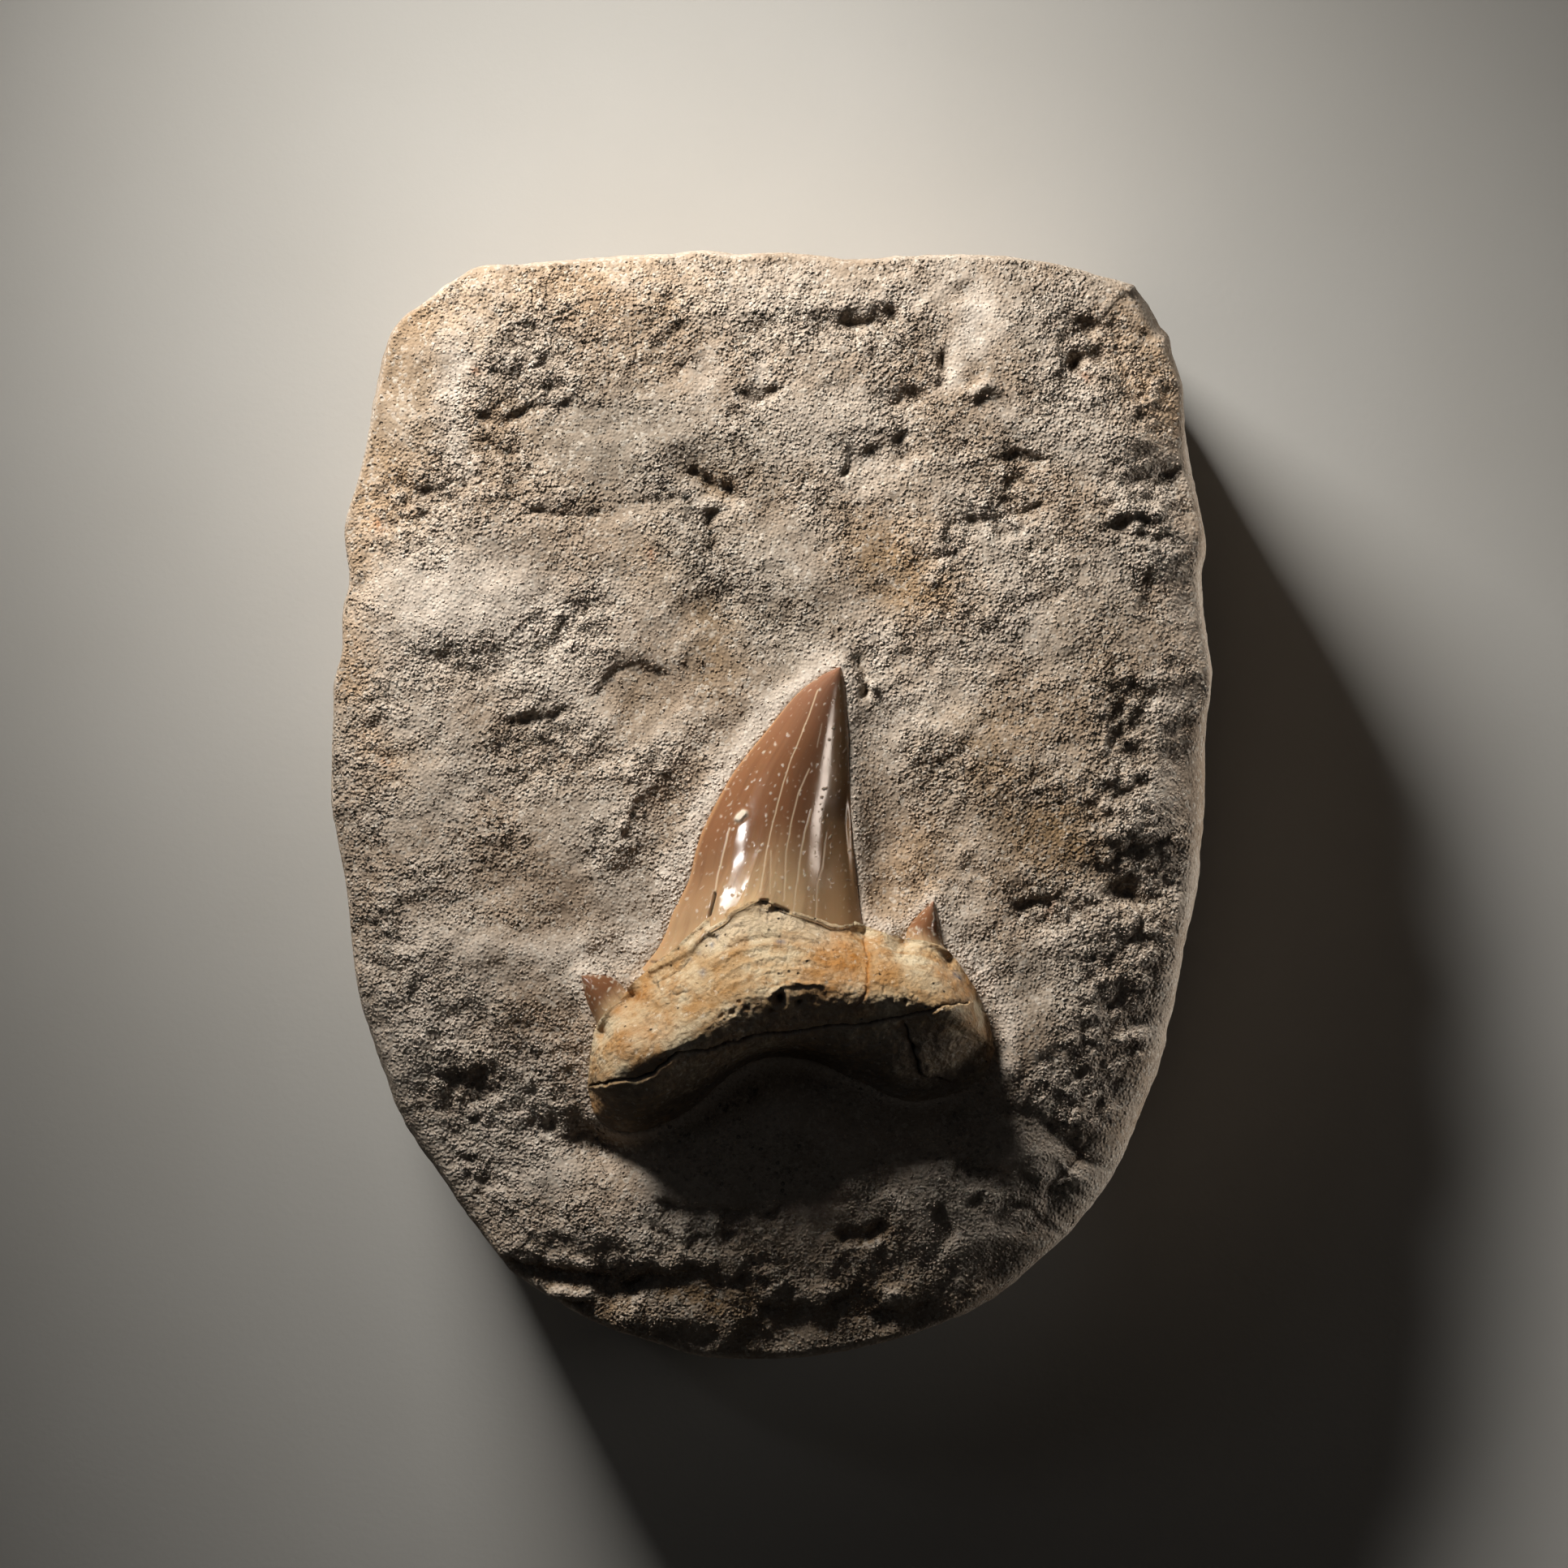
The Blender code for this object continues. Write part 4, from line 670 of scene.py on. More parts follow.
def stroke_sum(places: np.ndarray, strokes: Strokes, power: float = 2.0) -> np.ndarray:
    """Add up soft strokes.

    Args:
        places: the places on the front.
        strokes: amount, half width and line of each.
        power: how flat a stroke's middle is and how steep its sides.

    Returns:
        The summed amount at each place.
    """
    total = np.zeros(len(places))
    for amount, width, line in strokes:
        total += amount * np.exp(-(reach_of(places, line).distance / width) ** power)
    return total


def mark_height(places: np.ndarray, marks: dict[Profile, Strokes], sharpness: float) -> np.ndarray:
    """Add up the heights of marks in a surface.

    Args:
        places: the places on the front.
        marks: height, width and line of each mark, by profile.
        sharpness: over what distance a ledge's edge turns down.

    Returns:
        The summed height at each place.
    """
    height = stroke_sum(places, marks[Profile.SWELL], 2.4)
    height += stroke_sum(places, marks[Profile.GROOVE])
    for rise, width, line in marks[Profile.LEDGE]:
        reach = reach_of(places, line)
        ends = np.minimum(reach.along, len(line) / 2 - 1 - reach.along)
        beyond = np.where(ends > 0, 0.0, reach.distance)
        lower = smooth_step(reach.side * reach.distance, -sharpness, sharpness)
        height += rise * lower * np.exp(-(reach.distance / width) ** 1.4 - (beyond / (0.5 * width)) ** 2)
    return height


def inside_loop(places: np.ndarray, loop: np.ndarray) -> np.ndarray:
    """Tell which places lie inside a closed loop.

    Args:
        places: the places on the front.
        loop: the loop's points.

    Returns:
        True for each place inside.
    """
    x, y = places.T
    inside = np.zeros(len(places), bool)
    for (ax, ay), (bx, by) in zip(loop, np.roll(loop, -1, axis=0)):
        if ay != by:
            crosses = (ay > y) != (by > y)
            inside ^= crosses & (x < ax + (y - ay) * (bx - ax) / (by - ay))
    return inside


def inset(loop: np.ndarray, distance: np.ndarray | float) -> np.ndarray:
    """Move a closed clockwise loop inwards.

    Args:
        loop: the loop's points.
        distance: how far, for the whole loop or for each point.

    Returns:
        The moved points.
    """
    tangent = np.roll(loop[:, :2], -1, axis=0) - np.roll(loop[:, :2], 1, axis=0)
    tangent /= np.hypot(*tangent.T)[:, None]
    inward = np.column_stack([tangent[:, 1], -tangent[:, 0]])
    return loop[:, :2] + inward * np.reshape(distance, (-1, 1))


def grid_normals(grid: np.ndarray) -> np.ndarray:
    """Upward directions square to a grid of points.

    Args:
        grid: the points, row by row.

    Returns:
        A unit direction for each point.
    """
    normal = np.cross(np.gradient(grid, axis=1), np.gradient(grid, axis=0))
    length = np.linalg.norm(normal, axis=2, keepdims=True)
    normal = np.where(length > 1e-9, normal / np.maximum(length, 1e-9), (0.0, 0.0, 1.0))
    return np.where(normal[..., 2:] < 0, -normal, normal)


def grid_quads(index: np.ndarray) -> np.ndarray:
    """The quads over a grid of vertex numbers, one row of four numbers each."""
    corners = [index[:-1, :-1], index[:-1, 1:], index[1:, 1:], index[1:, :-1]]
    return np.stack(corners, axis=-1).reshape(-1, 4)


def band_quads(upper: np.ndarray, lower: np.ndarray) -> np.ndarray:
    """The quads of a closed band between two rings of vertex numbers, one row of four numbers each."""
    return grid_quads(np.array([np.append(upper, upper[0]), np.append(lower, lower[0])]))


def add_piece(name: str, vertices: np.ndarray, faces: list, fields: dict[str, np.ndarray],
              material: bpy.types.Material, crease: float = 180.0) -> bpy.types.Object:
    """Make a smooth closed mesh object.

    Args:
        name: the piece's name.
        vertices: points in millimetres, above the slab's back.
        faces: vertex numbers of each face.
        fields: values for each vertex that the material reads by name.
        material: the piece's finish.
        crease: faces that meet at more than this angle are shaded with an edge between them.

    Returns:
        The linked object.
    """
    mesh = bpy.data.meshes.new(name)
    mesh.from_pydata((vertices * MM).tolist(), [], faces)
    for field_name, values in fields.items():
        attribute = mesh.attributes.new(field_name, "FLOAT", "POINT")
        attribute.data.foreach_set("value", np.asarray(values, np.float32))
    solid = bmesh.new()
    solid.from_mesh(mesh)
    bmesh.ops.remove_doubles(solid, verts=solid.verts, dist=SAME_POINT * MM)
    bmesh.ops.recalc_face_normals(solid, faces=solid.faces)
    solid.to_mesh(mesh)
    solid.free()
    mesh.shade_smooth()
    mesh.set_sharp_from_angle(angle=math.radians(crease))
    mesh.materials.append(material)
    piece = bpy.data.objects.new(name, mesh)
    bpy.context.scene.collection.objects.link(piece)
    return piece


def add_skin(name: str, grid: np.ndarray, underside: float, fields: dict[str, np.ndarray],
             material: bpy.types.Material) -> bpy.types.Object:
    """Close a grid of points into a body: a wall goes down from its border to a flat underside.

    Args:
        name: the piece's name.
        grid: the skin's points, row by row, with heights above the front plane.
        underside: the underside's height above the front plane.
        fields: a value for each point of the grid, by name.
        material: the piece's finish.

    Returns:
        The linked object.
    """
    index = np.arange(grid.shape[0] * grid.shape[1]).reshape(grid.shape[:2])
    rim = np.concatenate([index[0, :-1], index[:-1, -1], index[-1, :0:-1], index[:0:-1, 0]])
    points = grid.reshape(-1, 3)
    foot = np.column_stack([points[rim, :2], np.full(len(rim), underside)])
    below = len(points) + np.arange(len(rim))
    vertices = np.vstack([points, foot]) + (0.0, 0.0, FRONT_PLANE)
    faces = grid_quads(index).tolist() + band_quads(rim, below).tolist() + [below.tolist()]
    values = {key: np.concatenate([value.ravel(), value.ravel()[rim]]) for key, value in fields.items()}
    return add_piece(name, vertices, faces, values, material, crease=50.0)


# Finishes


@dataclass(frozen=True)
class Lumps:
    """A random pattern of soft lumps that a finish reads."""

    size: float            # width of a lump in millimetres
    layers: float          # how many finer layers lie on the lumps
    rough: float = 0.55    # how strong the finer layers are


Socket = bpy.types.NodeSocket
Source = Socket | Lumps | str | float


def add_node(tree: bpy.types.NodeTree, kind: str, sockets: dict, output: int | str = 0,
             **settings: object) -> Socket:
    """Add a shader node with its settings and links.

    Args:
        tree: the material's tree.
        kind: the node's type, without the first word ShaderNode.
        sockets: its inputs, by name or number: a plain value, a colour as hex text, or an output to link.
        output: the output that is given back.
        settings: the node's own properties, by name.

    Returns:
        The output.
    """
    made = tree.nodes.new("ShaderNode" + kind)
    for name, value in settings.items():
        setattr(made, name, value)
    for key, value in sockets.items():
        if isinstance(value, Socket):
            tree.links.new(value, made.inputs[key])
        else:
            made.inputs[key].default_value = srgb(value) if isinstance(value, str) else value
    return made.outputs[output]


class Finish:
    """A material being made: its node tree, and the steps that every finish shares."""

    def __init__(self, name: str) -> None:
        """Start an empty material.

        Args:
            name: what the material is and how its surface was made.
        """
        self.material = bpy.data.materials.new(name)
        self.material.use_nodes = True
        self.tree = self.material.node_tree
        self.shader = self.tree.nodes["Principled BSDF"]
        self.places = add_node(self.tree, "TexCoord", {}, "Object")

    def value_of(self, source: Source) -> Socket | float:
        """Find what a source stands for.

        Args:
            source: random lumps, the name of a value that the mesh holds, an output or a number.

        Returns:
            The output, or the number as it is.
        """
        if isinstance(source, Lumps):
            sockets = {"Vector": self.places, "Scale": per_metre(source.size), "Detail": source.layers,
                       "Roughness": source.rough}
            return add_node(self.tree, "TexNoise", sockets)
        if isinstance(source, str):
            return add_node(self.tree, "Attribute", {}, "Fac", attribute_name=source)
        return source

    def share(self, source: Source, low: float, high: float, bottom: float = 0.0, top: float = 1.0) -> Socket:
        """Turn a range of a source's values into how much of something there is.

        Args:
            source: what is read.
            low: the value where the change begins.
            high: the value where it ends.
            bottom: what low becomes.
            top: what high becomes.

        Returns:
            The output.
        """
        sockets = {0: self.value_of(source), 1: low, 2: high, 3: bottom, 4: top}
        return add_node(self.tree, "MapRange", sockets, interpolation_type="SMOOTHSTEP")

    def both(self, first: Source, second: Source) -> Socket:
        """The output with two shares multiplied."""
        sockets = {0: self.value_of(first), 1: self.value_of(second)}
        return add_node(self.tree, "Math", sockets, operation="MULTIPLY")

    def coat(self, under: Socket | str, colour: str, cover: Source, also: Source = 1.0) -> Socket:
        """Lay a colour over what is there.

        Args:
            under: the output with the colour below, or hex text.
            colour: the colour that is laid on, as hex text.
            cover: how much of it covers.
            also: a second share that cover is multiplied by.

        Returns:
            The output with both colours.
        """
        share = self.value_of(cover) if also == 1.0 else self.both(cover, also)
        return add_node(self.tree, "Mix", {0: share, 6: under, 7: colour}, 2, data_type="RGBA")

    def cells(self, size: float) -> tuple[Socket, ...]:
        """Lay out round cells of one size, for sand grains or pores.

        Args:
            size: width of a cell in millimetres.

        Returns:
            How far a place is from the middle of its cell, and three random values that each cell has.
        """
        sockets = {"Vector": self.places, "Scale": per_metre(size)}
        distance = add_node(self.tree, "TexVoronoi", sockets, "Distance")
        tone = add_node(self.tree, "SeparateColor", {"Color": distance.node.outputs["Color"]})
        return distance, *tone.node.outputs

    def dress(self, colour: Socket, roughness: Source, relief: list[tuple[Source, float, Source]],
              **sockets: float) -> bpy.types.Material:
        """Raise the surface in the shader, from the broad forms to the fine ones, and feed the shader.

        Args:
            colour: the output with the colour.
            roughness: how rough the surface is.
            relief: what is raised, how far in millimetres, and how much of it shows, from 0 to 1.
            sockets: further shader inputs that are the same all over, with _ for a space in their names.

        Returns:
            The finished material.
        """
        normal = None
        for height, depth, strength in relief:
            inputs = {"Height": self.value_of(height), "Distance": depth * MM,
                      "Strength": self.value_of(strength)}
            if normal is not None:
                inputs["Normal"] = normal
            normal = add_node(self.tree, "Bump", inputs)
        sockets = {"Base_Color": colour, "Roughness": roughness, "Normal": normal, **sockets}
        for name, value in sockets.items():
            socket = self.shader.inputs[name.replace("_", " ")]
            if isinstance(value, Socket):
                self.tree.links.new(value, socket)
            else:
                socket.default_value = value
        return self.material


@dataclass(frozen=True)
class BrushedSandstone:
    """Loose sandstone, chiselled and brushed: fully matt, its grains seen as dark and pale specks."""

    grey: str = "#C0B09F"
    grey_brown: str = "#A8937E"
    warm: str = "#BE9970"
    # pale scrapes and dust, painted light on two broad patches, and rubbed ridges
    pale: str = "#E0D0BF"
    brown: str = "#94795A"
    # painted shade: the grey of the dull patches
    dull: str = "#8F8273"
    rust: str = "#A3602F"
    # soil in random patches, and painted shade in the hollows
    soil_and_shade: str = "#6A5A48"
    dark_grain: str = "#4E4134"
    pale_grain: str = "#E6DCCD"
    grain: float = 0.4       # width of a sand grain in millimetres
    crumb: float = 0.76      # width of a cluster of grains
    pore: float = 0.85       # spacing of the pores between clusters of grains
    roughness: float = 0.93

    def material(self) -> bpy.types.Material:
        """Build the material.

        Returns:
            The material.
        """
        finish = Finish("brushed_sandstone")
        # the bedding's broad clouds of colour, the stains with ragged edges, the painted light and painted
        # shade on broad patches, and soil and painted shade in the hollows
        colour = finish.coat(self.grey, self.grey_brown, finish.share(Lumps(15.0, 4.0), 0.4, 0.62))
        for name in ("warm", "dull", "pale", "brown", "rust"):
            ragged = finish.share(Lumps(2.2, 4.0), 0.25, 0.6, 0.45, 1.25)
            colour = finish.coat(colour, getattr(self, name), name, ragged)
        colour = finish.coat(colour, self.soil_and_shade, finish.share(Lumps(3.0, 5.0), 0.35, 0.75, 0.0, 0.28))
        # painted shade and soil: the hollows are darkened
        colour = finish.coat(colour, self.soil_and_shade, "hollow", 0.75)
        colour = finish.coat(colour, self.pale, "raised", 0.5)
        # single grains are dark or pale, the more of them dark the crumblier the stone
        grain, dark_ones, pale_ones, grain_height = finish.cells(self.grain)
        bare = finish.share("grit", 0.0, 0.9, 0.1, 0.62)
        colour = finish.coat(colour, self.dark_grain, finish.share(dark_ones, 0.8, 0.97), bare)
        colour = finish.coat(colour, self.pale_grain, finish.share(pale_ones, 0.7, 0.97, 0.0, 0.36))
        # pores are open where the stone is crumbly or warm in colour
        pore, _, _, open_ones = finish.cells(self.pore)
        crumbly = {0: finish.share("grit", 0.1, 0.6, 0.1, 1.0), 1: finish.value_of("warm")}
        porous = add_node(finish.tree, "Math", crumbly, operation="MAXIMUM")
        some = finish.both(finish.share(open_ones, 0.45, 0.8), porous)
        pit = finish.both(finish.share(pore, 0.1, 0.32, 1.0, 0.0), some)
        colour = finish.coat(colour, self.dark_grain, pit, 0.42)
        # relief too fine for the mesh: lumps, clusters of grains, grains and pores
        crumb, crumb_height, _, _ = finish.cells(self.crumb)
        uneven = finish.share(crumb_height, 0.3, 1.0, 0.15, 1.3)
        crumbs = finish.both(finish.share(crumb, 0.0, 0.75, 1.0, 0.0), uneven)
        uneven = finish.share(grain_height, 0.0, 1.0, 0.4, 1.3)
        grains = finish.both(finish.share(grain, 0.0, 0.75, 1.0, 0.0), uneven)
        relief = [
            (Lumps(0.6, 2.0, 0.6), 0.1, finish.share("grit", 0.0, 0.9, 0.3, 1.0)),
            (crumbs, 0.19, finish.share("grit", 0.1, 0.9, 0.15, 0.9)),
            (grains, 0.26, finish.share("grit", 0.0, 0.9, 0.35, 1.0)),
            (pit, -0.35, 1.0)]
        return finish.dress(colour, self.roughness, relief, IOR=1.5, Specular_IOR_Level=0.25)


@dataclass(frozen=True)
class PolishedEnamel:
    """Fossil enameloid, smooth by nature and stained brown: glossy, a little translucent, cracks filled."""

    base: str = "#CFAE84"
    tan: str = "#835A3E"
    caramel: str = "#795137"
    dark: str = "#714D36"
    tip: str = "#845E4A"
    edge: str = "#B98E64"          # thin left edge
    flank: str = "#9C7853"         # dusty right side
    filled_crack: str = "#D8BE9C"
    open_crack: str = "#140D08"
    dust: str = "#D8C8B2"
    ior: float = 1.62              # fluorapatite
    roughness: float = 0.13
    streaks: float = 18.0          # how many colour streaks lie side by side
    streak_breaks: float = 3.0     # how often a streak changes on its way to the tip
    translucency: float = 0.6      # how far light goes in, in millimetres

    def material(self) -> bpy.types.Material:
        """Build the material.

        Returns:
            The material.
        """
        finish = Finish("polished_fossil_enamel")
        tree = finish.tree
        rise, across = finish.value_of("rise"), finish.value_of("across")
        # streaks run from the neckline to the tip
        run = add_node(tree, "CombineXYZ", {0: finish.both(across, self.streaks),
                                            1: finish.both(rise, self.streak_breaks)})
        sockets = {"Vector": run, "Scale": 1.0 / 1.2, "Detail": 5.0, "Roughness": 0.6}
        streak = add_node(tree, "TexNoise", sockets)
        shift = finish.share(streak, 0.3, 0.7, -0.1, 0.1)
        shifted = add_node(tree, "Math", {0: across, 1: shift}, operation="ADD")
        # tan at the left, caramel and dark to the right, paler at the foot and at the dusty right side
        colour = finish.coat(self.tan, self.caramel, finish.share(shifted, 0.18, 0.5))
        colour = finish.coat(colour, self.dark, finish.share(shifted, 0.5, 0.8))
        colour = finish.coat(colour, self.tip, finish.share(rise, 0.6, 1.0, 0.0, 0.8))
        foot = finish.share(rise, 0.0, 0.42, 0.85, 0.0)
        colour = finish.coat(colour, self.base, foot, finish.share(across, 0.1, 0.45, 0.75, 1.0))
        colour = finish.coat(colour, self.dark, finish.share(streak, 0.45, 0.8, 0.0, 0.75))
        colour = finish.coat(colour, self.flank, finish.share(across, 0.68, 0.88, 0.0, 0.85))
        colour = finish.coat(colour, self.edge, finish.share("edge", 0.2, 1.0, 0.0, 0.55))
        colour = finish.coat(colour, self.filled_crack, "crack")
        # dust specks, more of them at the right side and towards the tip
        specks = finish.value_of(Lumps(0.3, 2.0))
        for more in (finish.share(across, 0.7, 0.95, 0.0, 0.05), finish.share(rise, 0.5, 0.9, 0.0, 0.02)):
            specks = add_node(tree, "Math", {0: specks, 1: more}, operation="ADD")
        dust = {0: finish.value_of("dust"), 1: finish.both(finish.share(specks, 0.765, 0.8), 0.6)}
        dusty = add_node(tree, "Math", dust, operation="MAXIMUM")
        colour = finish.coat(colour, self.dust, dusty)
        colour = finish.coat(colour, self.open_crack, "gap")
        # dust and filled cracks are dull, and so, a little, are worn patches and the right side
        dull = add_node(tree, "Math", {0: dusty, 1: finish.value_of("crack")}, operation="MAXIMUM")
        gloss = self.roughness
        for more in (finish.both(dull, 0.6), finish.share(Lumps(2.0, 4.0), 0.4, 0.8, 0.0, 0.1),
                     finish.share(across, 0.78, 0.95, 0.0, 0.08)):
            gloss = add_node(tree, "Math", {0: gloss, 1: more}, operation="ADD")
        relief = [(streak, 0.02, 0.35), (Lumps(2.5, 2.0), 0.02, 0.1), (dusty, 0.05, 1.0)]
        return finish.dress(colour, gloss, relief, IOR=self.ior, Subsurface_Weight=0.12,
                            Subsurface_Scale=self.translucency * MM)


@dataclass(frozen=True)
class WeatheredRoot:
    """Fossil root dentine, cleaned by hand: satin, cream to ochre, with growth lines, pores, rust and painted
    shade on its lower face.
    """

    cream: str = "#D2BF9E"
    tan: str = "#B8966C"
    ochre: str = "#A97B47"
    neck: str = "#D1B998"
    speck: str = "#6B4A2C"
    pale_speck: str = "#EFE2CB"
    rust: str = "#AD7130"
    stain: str = "#6B6D75"
    # painted shade for the lower face
    painted_shade: str = "#7D6850"
    pore: str = "#2A1F15"
    crack: str = "#140E09"
    pore_size: float = 1.0         # spacing of the pores in millimetres
    clump_size: float = 0.6        # width of the small bumps
    growth_lines: float = 42.0     # how many growth lines lie between the upper and the lower rim
    line_breaks: float = 7.0       # how often a growth line changes from end to end
    ior: float = 1.56

    def material(self) -> bpy.types.Material:
        """Build the material.

        Returns:
            The material.
        """
        finish = Finish("weathered_root_dentine")
        tree = finish.tree
        # growth lines run from end to end
        run = add_node(tree, "CombineXYZ", {0: finish.both("across", self.growth_lines),
                                            1: finish.both("along", self.line_breaks)})
        lines = add_node(tree, "TexNoise", {"Vector": run, "Scale": 1.0, "Detail": 3.0, "Roughness": 0.6})
        colour = finish.coat(self.cream, self.tan, finish.share(Lumps(6.0, 5.0), 0.38, 0.62))
        colour = finish.coat(colour, self.ochre, finish.share(Lumps(2.6, 6.0, 0.65), 0.44, 0.64, 0.0, 0.7))
        colour = finish.coat(colour, self.ochre, finish.share(lines, 0.5, 0.72, 0.0, 0.45))
        # the neck, rust and stains are the root's own colours, and the lower face gets painted shade
        for name in ("neck", "painted_shade", "rust", "stain"):
            ragged = finish.share(Lumps(1.1, 4.0), 0.25, 0.6, 0.4, 1.2)
            colour = finish.coat(colour, getattr(self, name), name, ragged)
        colour = finish.coat(colour, self.speck, finish.share(Lumps(0.7, 4.0, 0.7), 0.54, 0.7, 0.0, 0.55))
        pale_ones = finish.share(Lumps(0.9, 4.0, 0.7), 0.56, 0.72, 0.0, 0.5)
        colour = finish.coat(colour, self.pale_speck, pale_ones)
        # pores, few of them all over and many round the nutrient hole
        distance, open_ones, _, _ = finish.cells(self.pore_size)
        pitted = {0: finish.share(open_ones, 0.8, 0.85), 1: finish.value_of("pits")}
        some = add_node(tree, "Math", pitted, operation="MAXIMUM")
        pore = finish.both(finish.share(distance, 0.08, 0.2, 1.0, 0.0), some)
        colour = finish.coat(colour, self.pore, pore, 0.85)
        colour = finish.coat(colour, self.crack, "crack")
        clumps = finish.share(finish.cells(self.clump_size)[0], 0.0, 0.75, 1.0, 0.0)
        relief = [
            (lines, 0.16, 0.6), (Lumps(1.1, 6.0, 0.72), 0.5, 1.0),
            (clumps, 0.16, finish.share(Lumps(5.0, 3.0), 0.35, 0.65, 0.1, 0.9)), (pore, -0.2, 1.0)]
        rough = finish.share(Lumps(3.0, 4.0), 0.3, 0.7, 0.62, 0.8)
        return finish.dress(colour, rough, relief, IOR=self.ior, Specular_IOR_Level=0.3)


@dataclass(frozen=True)
class PaleBoard:
    """Painted board under the specimen: matt and nearly white, with a faint brushed unevenness."""

    paint: str = "#BDB9B2"
    worn: str = "#FFFFFF"
    roughness: float = 0.85

    def material(self) -> bpy.types.Material:
        """Build the material.

        Returns:
            The material.
        """
        finish = Finish("painted_board")
        colour = finish.coat(self.paint, self.worn, finish.share(Lumps(60.0, 3.0), 0.3, 0.7, 0.0, 0.06))
        return finish.dress(colour, self.roughness, [(Lumps(0.8, 2.0), 0.02, 1.0)])


# Pieces


@dataclass
class ToothRoot:
    """The root: a skin over its guide lines, with the long crack, the nutrient hole and the growth lines."""

    columns: int = 320
    rows: int = 200
    lump_depth: float = 0.16
    grain_depth: float = 0.08       # of bumps about a millimetre wide
    seam: float = 0.03              # how far the root lies below the edge of an enamel cap
    seam_width: float = 1.3         # over what distance it comes up to that edge
    sunk_under_cap: float = 0.9

    def skin(self) -> np.ndarray:
        """Draw the bare skin.

        Returns:
            Its points, row by row from the upper rim to the lower one.
        """
        guides = np.array([[ROOT_LEFT_END, *line, ROOT_RIGHT_END] for line in ROOT_GUIDES])
        # first along each guide line, then across the lines at each station
        stops = np.linspace(0, guides.shape[1] - 1, self.columns + 1)
        stations = along_spline(guides.transpose(1, 0, 2), stops)
        stops = np.linspace(0, guides.shape[0] - 1, self.rows + 1)
        return along_spline(stations.transpose(1, 0, 2), stops)

    def outline(self) -> np.ndarray:
        """The root's outline on the front."""
        grid = self.skin()
        return np.vstack([grid[0, ::4], grid[-1, ::-4]])

    def meet(self, grid: np.ndarray, neckline: np.ndarray) -> np.ndarray:
        """Bring the root just below an enamel cap's lower edge, and sink it under the enamel.

        Args:
            grid: the root's points.
            neckline: the cap's lower edge in space, from left to right.

        Returns:
            The height to add at each point.
        """
        places = grid[..., :2].reshape(-1, 2)
        reach = reach_of(places, neckline[:, :2].ravel())
        edge = np.interp(reach.along, np.arange(len(neckline)), neckline[:, 2])
        ends = np.minimum(reach.along, len(neckline) - 1 - reach.along)
        under = np.where((reach.side < 0) & (ends > 0), smooth_step(reach.distance, 0.2, 1.1), 0.0)
        beside = np.exp(-(reach.distance / self.seam_width) ** 2)
        sunk = self.sunk_under_cap * under * np.exp(-(reach.distance / 4.0) ** 2)
        lift = beside * (edge - self.seam - grid[..., 2].ravel()) - sunk
        return lift.reshape(grid.shape[:2])

    def build(self, material: bpy.types.Material, necklines: list[np.ndarray]) -> bpy.types.Object:
        """Make the root.

        Args:
            material: its finish.
            necklines: the lower edges of the enamel caps.

        Returns:
            The object.
        """
        grid = self.skin()
        calm = np.ones(grid.shape[:2])
        for neckline in necklines:
            grid[..., 2] += self.meet(grid, neckline)
            gap = reach_of(grid[..., :2].reshape(-1, 2), neckline[:, :2].ravel()).distance
            calm *= 1 - 0.8 * np.exp(-(gap.reshape(calm.shape) / 0.6) ** 2)
        places = grid[..., :2].reshape(-1, 2)
        points = grid.reshape(-1, 3)
        wavy = places + wander(points, 0.16, 1.4, 3)
        wavy += wander(points, 0.1, 0.5, 13)
        relief = mark_height(wavy, ROOT_MARKS, 0.12)
        relief += self.lump_depth * (LumpNoise(4.5, 1).at(points) + 0.5 * LumpNoise(2.0, 2).at(points))
        relief += self.grain_depth * LumpNoise(0.9, 5).at(points) + 0.05 * LumpNoise(0.45, 6).at(points)
        shape = grid.shape[:2]
        across, along = np.meshgrid(*(np.linspace(0, 1, n) for n in shape), indexing="ij")
        fade = calm * smooth_step(np.minimum(along, 1 - along), 0.0, 0.02)
        grid = grid + grid_normals(grid) * (relief.reshape(shape) * fade)[..., None]
        fields = {name: np.clip(stroke_sum(wavy, strokes), 0, 1) for name, strokes in ROOT_STROKES.items()}
        fields |= {"crack": np.clip(stroke_sum(wavy, ROOT_OPENINGS), 0, 1), "along": along, "across": across}
        return add_skin("tooth_root", grid, ROOT_UNDERSIDE, fields, material)


